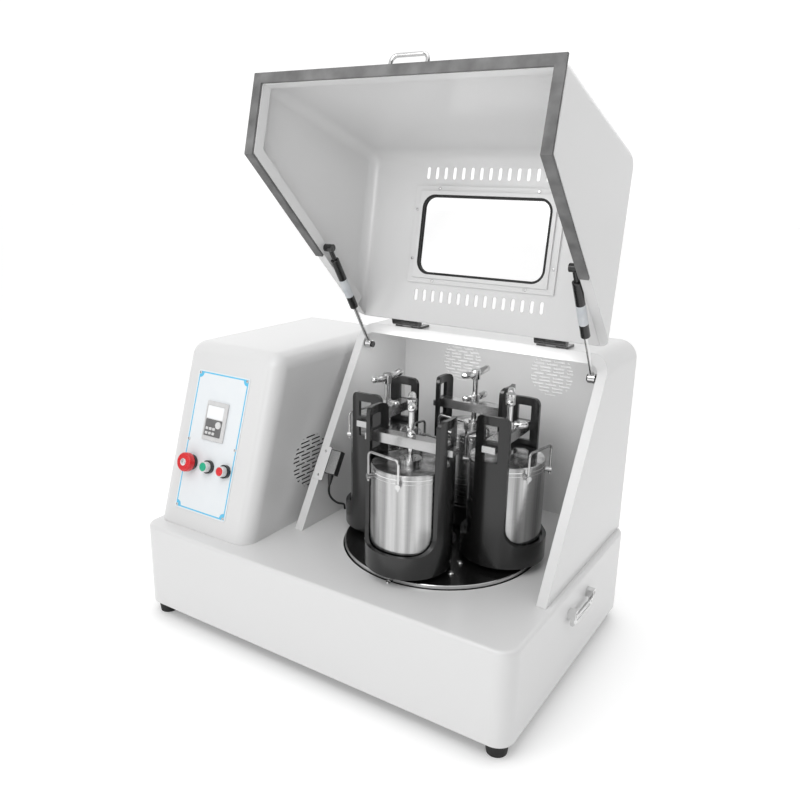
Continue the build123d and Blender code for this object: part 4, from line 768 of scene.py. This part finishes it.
QUADRANT_BOLTS = ((118, 47), (158, 35))  # radius, angle past the first pot
disc_places = []
for quadrant in range(4):
    for radius, past in QUADRANT_BOLTS:
        angle = radians(POT_PHASE + 90 * quadrant + past)
        bolt_at = mm(HOOD_X + radius * cos(angle), radius * sin(angle), DISC_TOP_Z)
        disc_places.append(standing(bolt_at, (0, 0, 1)))
heads("disc_bolts", "turntable", disc_places, button_head(7, 4, 3.4))

# Round handles along the wings of the clamp screws and lock nuts: their hub's height,
# their reach and rise, and how each pot's screw or nut happens to stand.
SCREW_HANDLES = ("screw_handles", "clamp_screw", 559.5, 43.5, 5, (29, 111, 173, 85))
NUT_HANDLES = ("nut_handles", "lock_nut", 505.15, 29.5, 4, (29, 21, 164, 163))
HANDLE_RADIUS, HANDLE_ROOT, HANDLE_SIDES = 7.5, 9, 24


def pot_bearing(number):
    """Bearing of a pot on the disc, in radians."""
    return radians(POT_PHASE + 90 * (number - 1))


def pot_axis(number, height):
    """Point on the axis of a pot."""
    reach = POT_PITCH_RADIUS * Vector((cos(pot_bearing(number)), sin(pot_bearing(number))))
    return mm(HOOD_X + reach.x, reach.y, height)


def wing_handles(number, name, body, hub_z, reach, rise, turns):
    """Two round handles from a pot's hub out along its wings."""
    way = pot_bearing(number) + radians(turns[number - 1])
    length = (reach ** 2 + rise ** 2) ** 0.5
    work = bmesh.new()
    for sign in (-1, 1):
        along = (sign * reach * cos(way), sign * reach * sin(way), rise)
        turned(work, standing(pot_axis(number, hub_z), along, (0, 0, 1)), [
            (HANDLE_RADIUS - 1.5, HANDLE_ROOT),
            (HANDLE_RADIUS, HANDLE_ROOT + 3),
            (HANDLE_RADIUS, length + 2),
            (HANDLE_RADIUS - 1.3, length + 5.3),
            (HANDLE_RADIUS - 4, length + 7.4),
            (0.5, length + 7.8),
        ], sides=HANDLE_SIDES)
    piece(f"{name}_{number}", f"{body}_{number}", looks["bright_chrome"], work)


# Two beads that each jar's top is turned with, as (low, high) heights.
BEADS = ((432.6, 435.2), (425.6, 427.2))
JAR_RADIUS, BEAD_SUNK, BEAD_PROUD, BEAD_SLOPE, BEAD_SIDES = 76, 0.3, 0.5, 0.3, 96
for number in range(1, 5):
    wing_handles(number, *SCREW_HANDLES)
    wing_handles(number, *NUT_HANDLES)
    work = bmesh.new()
    for low, high in BEADS:
        band(work, standing(pot_axis(number, 0), (0, 0, 1)), [
            (JAR_RADIUS - BEAD_SUNK, low),
            (JAR_RADIUS + BEAD_PROUD, low + BEAD_SLOPE),
            (JAR_RADIUS + BEAD_PROUD, high - BEAD_SLOPE),
            (JAR_RADIUS - BEAD_SUNK, high),
        ], BEAD_SIDES)
    piece(f"jar_beads_{number}", f"pot_{number}", looks["bright_chrome"], work)

# ==================================================================== lid
RIM_GAP, LID_REAR_Z, LID_CROWN, LID_WALL = 7.5, HOOD_TOP_Z + 0.8, Vector((-244.8, 619)), 2
WINDOW_FROM_REAR, FRAME_THICK = 189, 4.5
rear_y = STRIP_FOOT_Y + (LID_REAR_Z - DECK_Z) * tan(slant) - RIM_GAP / cos(slant)
lid_rear = Vector((rear_y, LID_REAR_Z))
along_top = (LID_CROWN - lid_rear).normalized()
into_lid = Vector((-along_top.y, along_top.x))
window_point = lid_rear + along_top * WINDOW_FROM_REAR
window_at = lid_point(*window_point)
window_in = of_lid(*into_lid)
window_along = of_lid(*along_top)


def on_window(x, along, proud):
    """Placement on the window frame, from its middle, along towards the crown."""
    flat = window_at + window_along * along + window_in * proud
    return standing(mm(HOOD_X + x, flat.x, flat.y), (0, window_in.x, window_in.y), (1, 0, 0))


FRAME_SCREWS = ((163, 52), (163, -52), (113, 97), (108, -97))  # half apart, and along
frame_places = [
    on_window(side * apart, along, LID_WALL + FRAME_THICK)
    for apart, along in FRAME_SCREWS
    for side in (-1, 1)
]
heads("frame_screws", "lid", frame_places, button_head(3.6, 2.0, 1.8, cross_radius))

# Two screws in each hinge leaf.
HINGE_OFFSET, HINGE_SCREW_X, LEAF_THICK, LEAF_SETBACK = 171, 20, 5, 5
LOWER_LEAF_Y, LEAF_SCREW = 123.5, 22
hinge_screw = button_head(4.2, 1.8, 2.2, cross_radius)
out_of_lid = of_lid(*(-into_lid))
lid_leaf = lid_point(*(lid_rear + along_top * (LEAF_SETBACK + LEAF_SCREW)))
lid_leaf += out_of_lid * LEAF_THICK
lower_places, upper_places = [], []
for side in (-1, 1):
    for sx in (-1, 1):
        x = HOOD_X + side * HINGE_OFFSET + sx * HINGE_SCREW_X
        lower_at = mm(x, LOWER_LEAF_Y + LEAF_SCREW, HOOD_TOP_Z + LEAF_THICK)
        lower_places.append(standing(lower_at, (0, 0, 1)))
        upper_at = mm(x, lid_leaf.x, lid_leaf.y)
        upper_places.append(standing(upper_at, (0, out_of_lid.x, out_of_lid.y), (1, 0, 0)))
heads("hood_hinge_screws", "chassis", lower_places, hinge_screw)
heads("lid_hinge_screws", "lid", upper_places, hinge_screw)

# Bare pale sleeves on the gas struts' tubes.
STRUT_OFFSET, STRUT_LOW, STRUT_HIGH_SHUT = 265, Vector((108, 599)), (-8.7, 466.7)
TUBE_RADIUS, TUBE_END = 9, 30
SLEEVE_START, SLEEVE_LENGTH, SLEEVE_THICK, SLEEVE_SIDES = 52, 46, 0.2, 40
strut_high = lid_point(*STRUT_HIGH_SHUT)
strut_down = (STRUT_LOW - strut_high).normalized()
sleeve_start = strut_high + strut_down * (TUBE_END + SLEEVE_START)
sleeve_look = plastic("sleeve_pale", (0.62, 0.64, 0.66), 0.35, (0.5, 0.53, 0.56))
for side, name in ((-1, "left"), (1, "right")):
    sleeve_at = mm(HOOD_X + side * STRUT_OFFSET, sleeve_start.x, sleeve_start.y)
    work = bmesh.new()
    band(work, standing(sleeve_at, (0, strut_down.x, strut_down.y), (1, 0, 0)), [
        (TUBE_RADIUS - SLEEVE_THICK, 0),
        (TUBE_RADIUS + SLEEVE_THICK, 0),
        (TUBE_RADIUS + SLEEVE_THICK, SLEEVE_LENGTH),
        (TUBE_RADIUS - SLEEVE_THICK, SLEEVE_LENGTH),
    ], SLEEVE_SIDES)
    piece(f"strut_sleeve_{name}", f"gas_tube_{name}", sleeve_look, work)

# =================================================== interlock on the strip
strip_out = Vector((0, -cos(slant), sin(slant)))
strip_up = Vector((0, sin(slant), cos(slant)))


def on_strip(x, rise, proud=0.0):
    """Placement on the hood's slanted edge, from its left foot."""
    foot = Vector((HOOD_X - HOOD_HALF, STRIP_FOOT_Y, DECK_Z))
    at = foot + Vector((x, 0, 0)) + strip_up * rise + strip_out * proud
    return standing(at * MM, strip_out, (1, 0, 0))


BRACKET_LEFT, BRACKET_WIDTH, BRACKET_LOW, BRACKET_HIGH, BRACKET_THICK = 4, 25, 117, 194, 1.5
BRACKET_MARGIN, BRACKET_SCREWS = 0.3, (128, 183)
SWITCH_LOW, SWITCH_HIGH, SWITCH_WIDTH, SWITCH_PROUD, SWITCH_MARGIN = 135, 190, 27.5, 3, 3
FACE_CORNER = 2
bracket_x = BRACKET_LEFT + BRACKET_WIDTH / 2
switch_x = BRACKET_LEFT + BRACKET_WIDTH + BRACKET_THICK + SWITCH_WIDTH / 2
work = bmesh.new()
plate(
    work,
    on_strip(bracket_x, (BRACKET_LOW + BRACKET_HIGH) / 2),
    rounded(
        BRACKET_WIDTH + BRACKET_MARGIN, BRACKET_HIGH - BRACKET_LOW + BRACKET_MARGIN, FACE_CORNER
    ),
    0.2,
    BRACKET_THICK + 0.25,
)
piece("bracket_face", "chassis", looks["white_paint"], work, edge=0.2)
work = bmesh.new()
plate(
    work,
    on_strip(switch_x, (SWITCH_LOW + SWITCH_HIGH) / 2),
    rounded(SWITCH_WIDTH - SWITCH_MARGIN, SWITCH_HIGH - SWITCH_LOW - SWITCH_MARGIN, FACE_CORNER),
    SWITCH_PROUD - 0.5,
    SWITCH_PROUD + 0.6,
)
switch_face_look = brushed_metal("switch_face", 0.5, (1, 1, 0.05))
piece("switch_face", "chassis", switch_face_look, work, edge=0.3)
bracket_places = [on_strip(bracket_x, rise, BRACKET_THICK + 0.2) for rise in BRACKET_SCREWS]
heads("bracket_screws", "chassis", bracket_places, button_head(3.2, 0.4, 1.6, cross_radius))
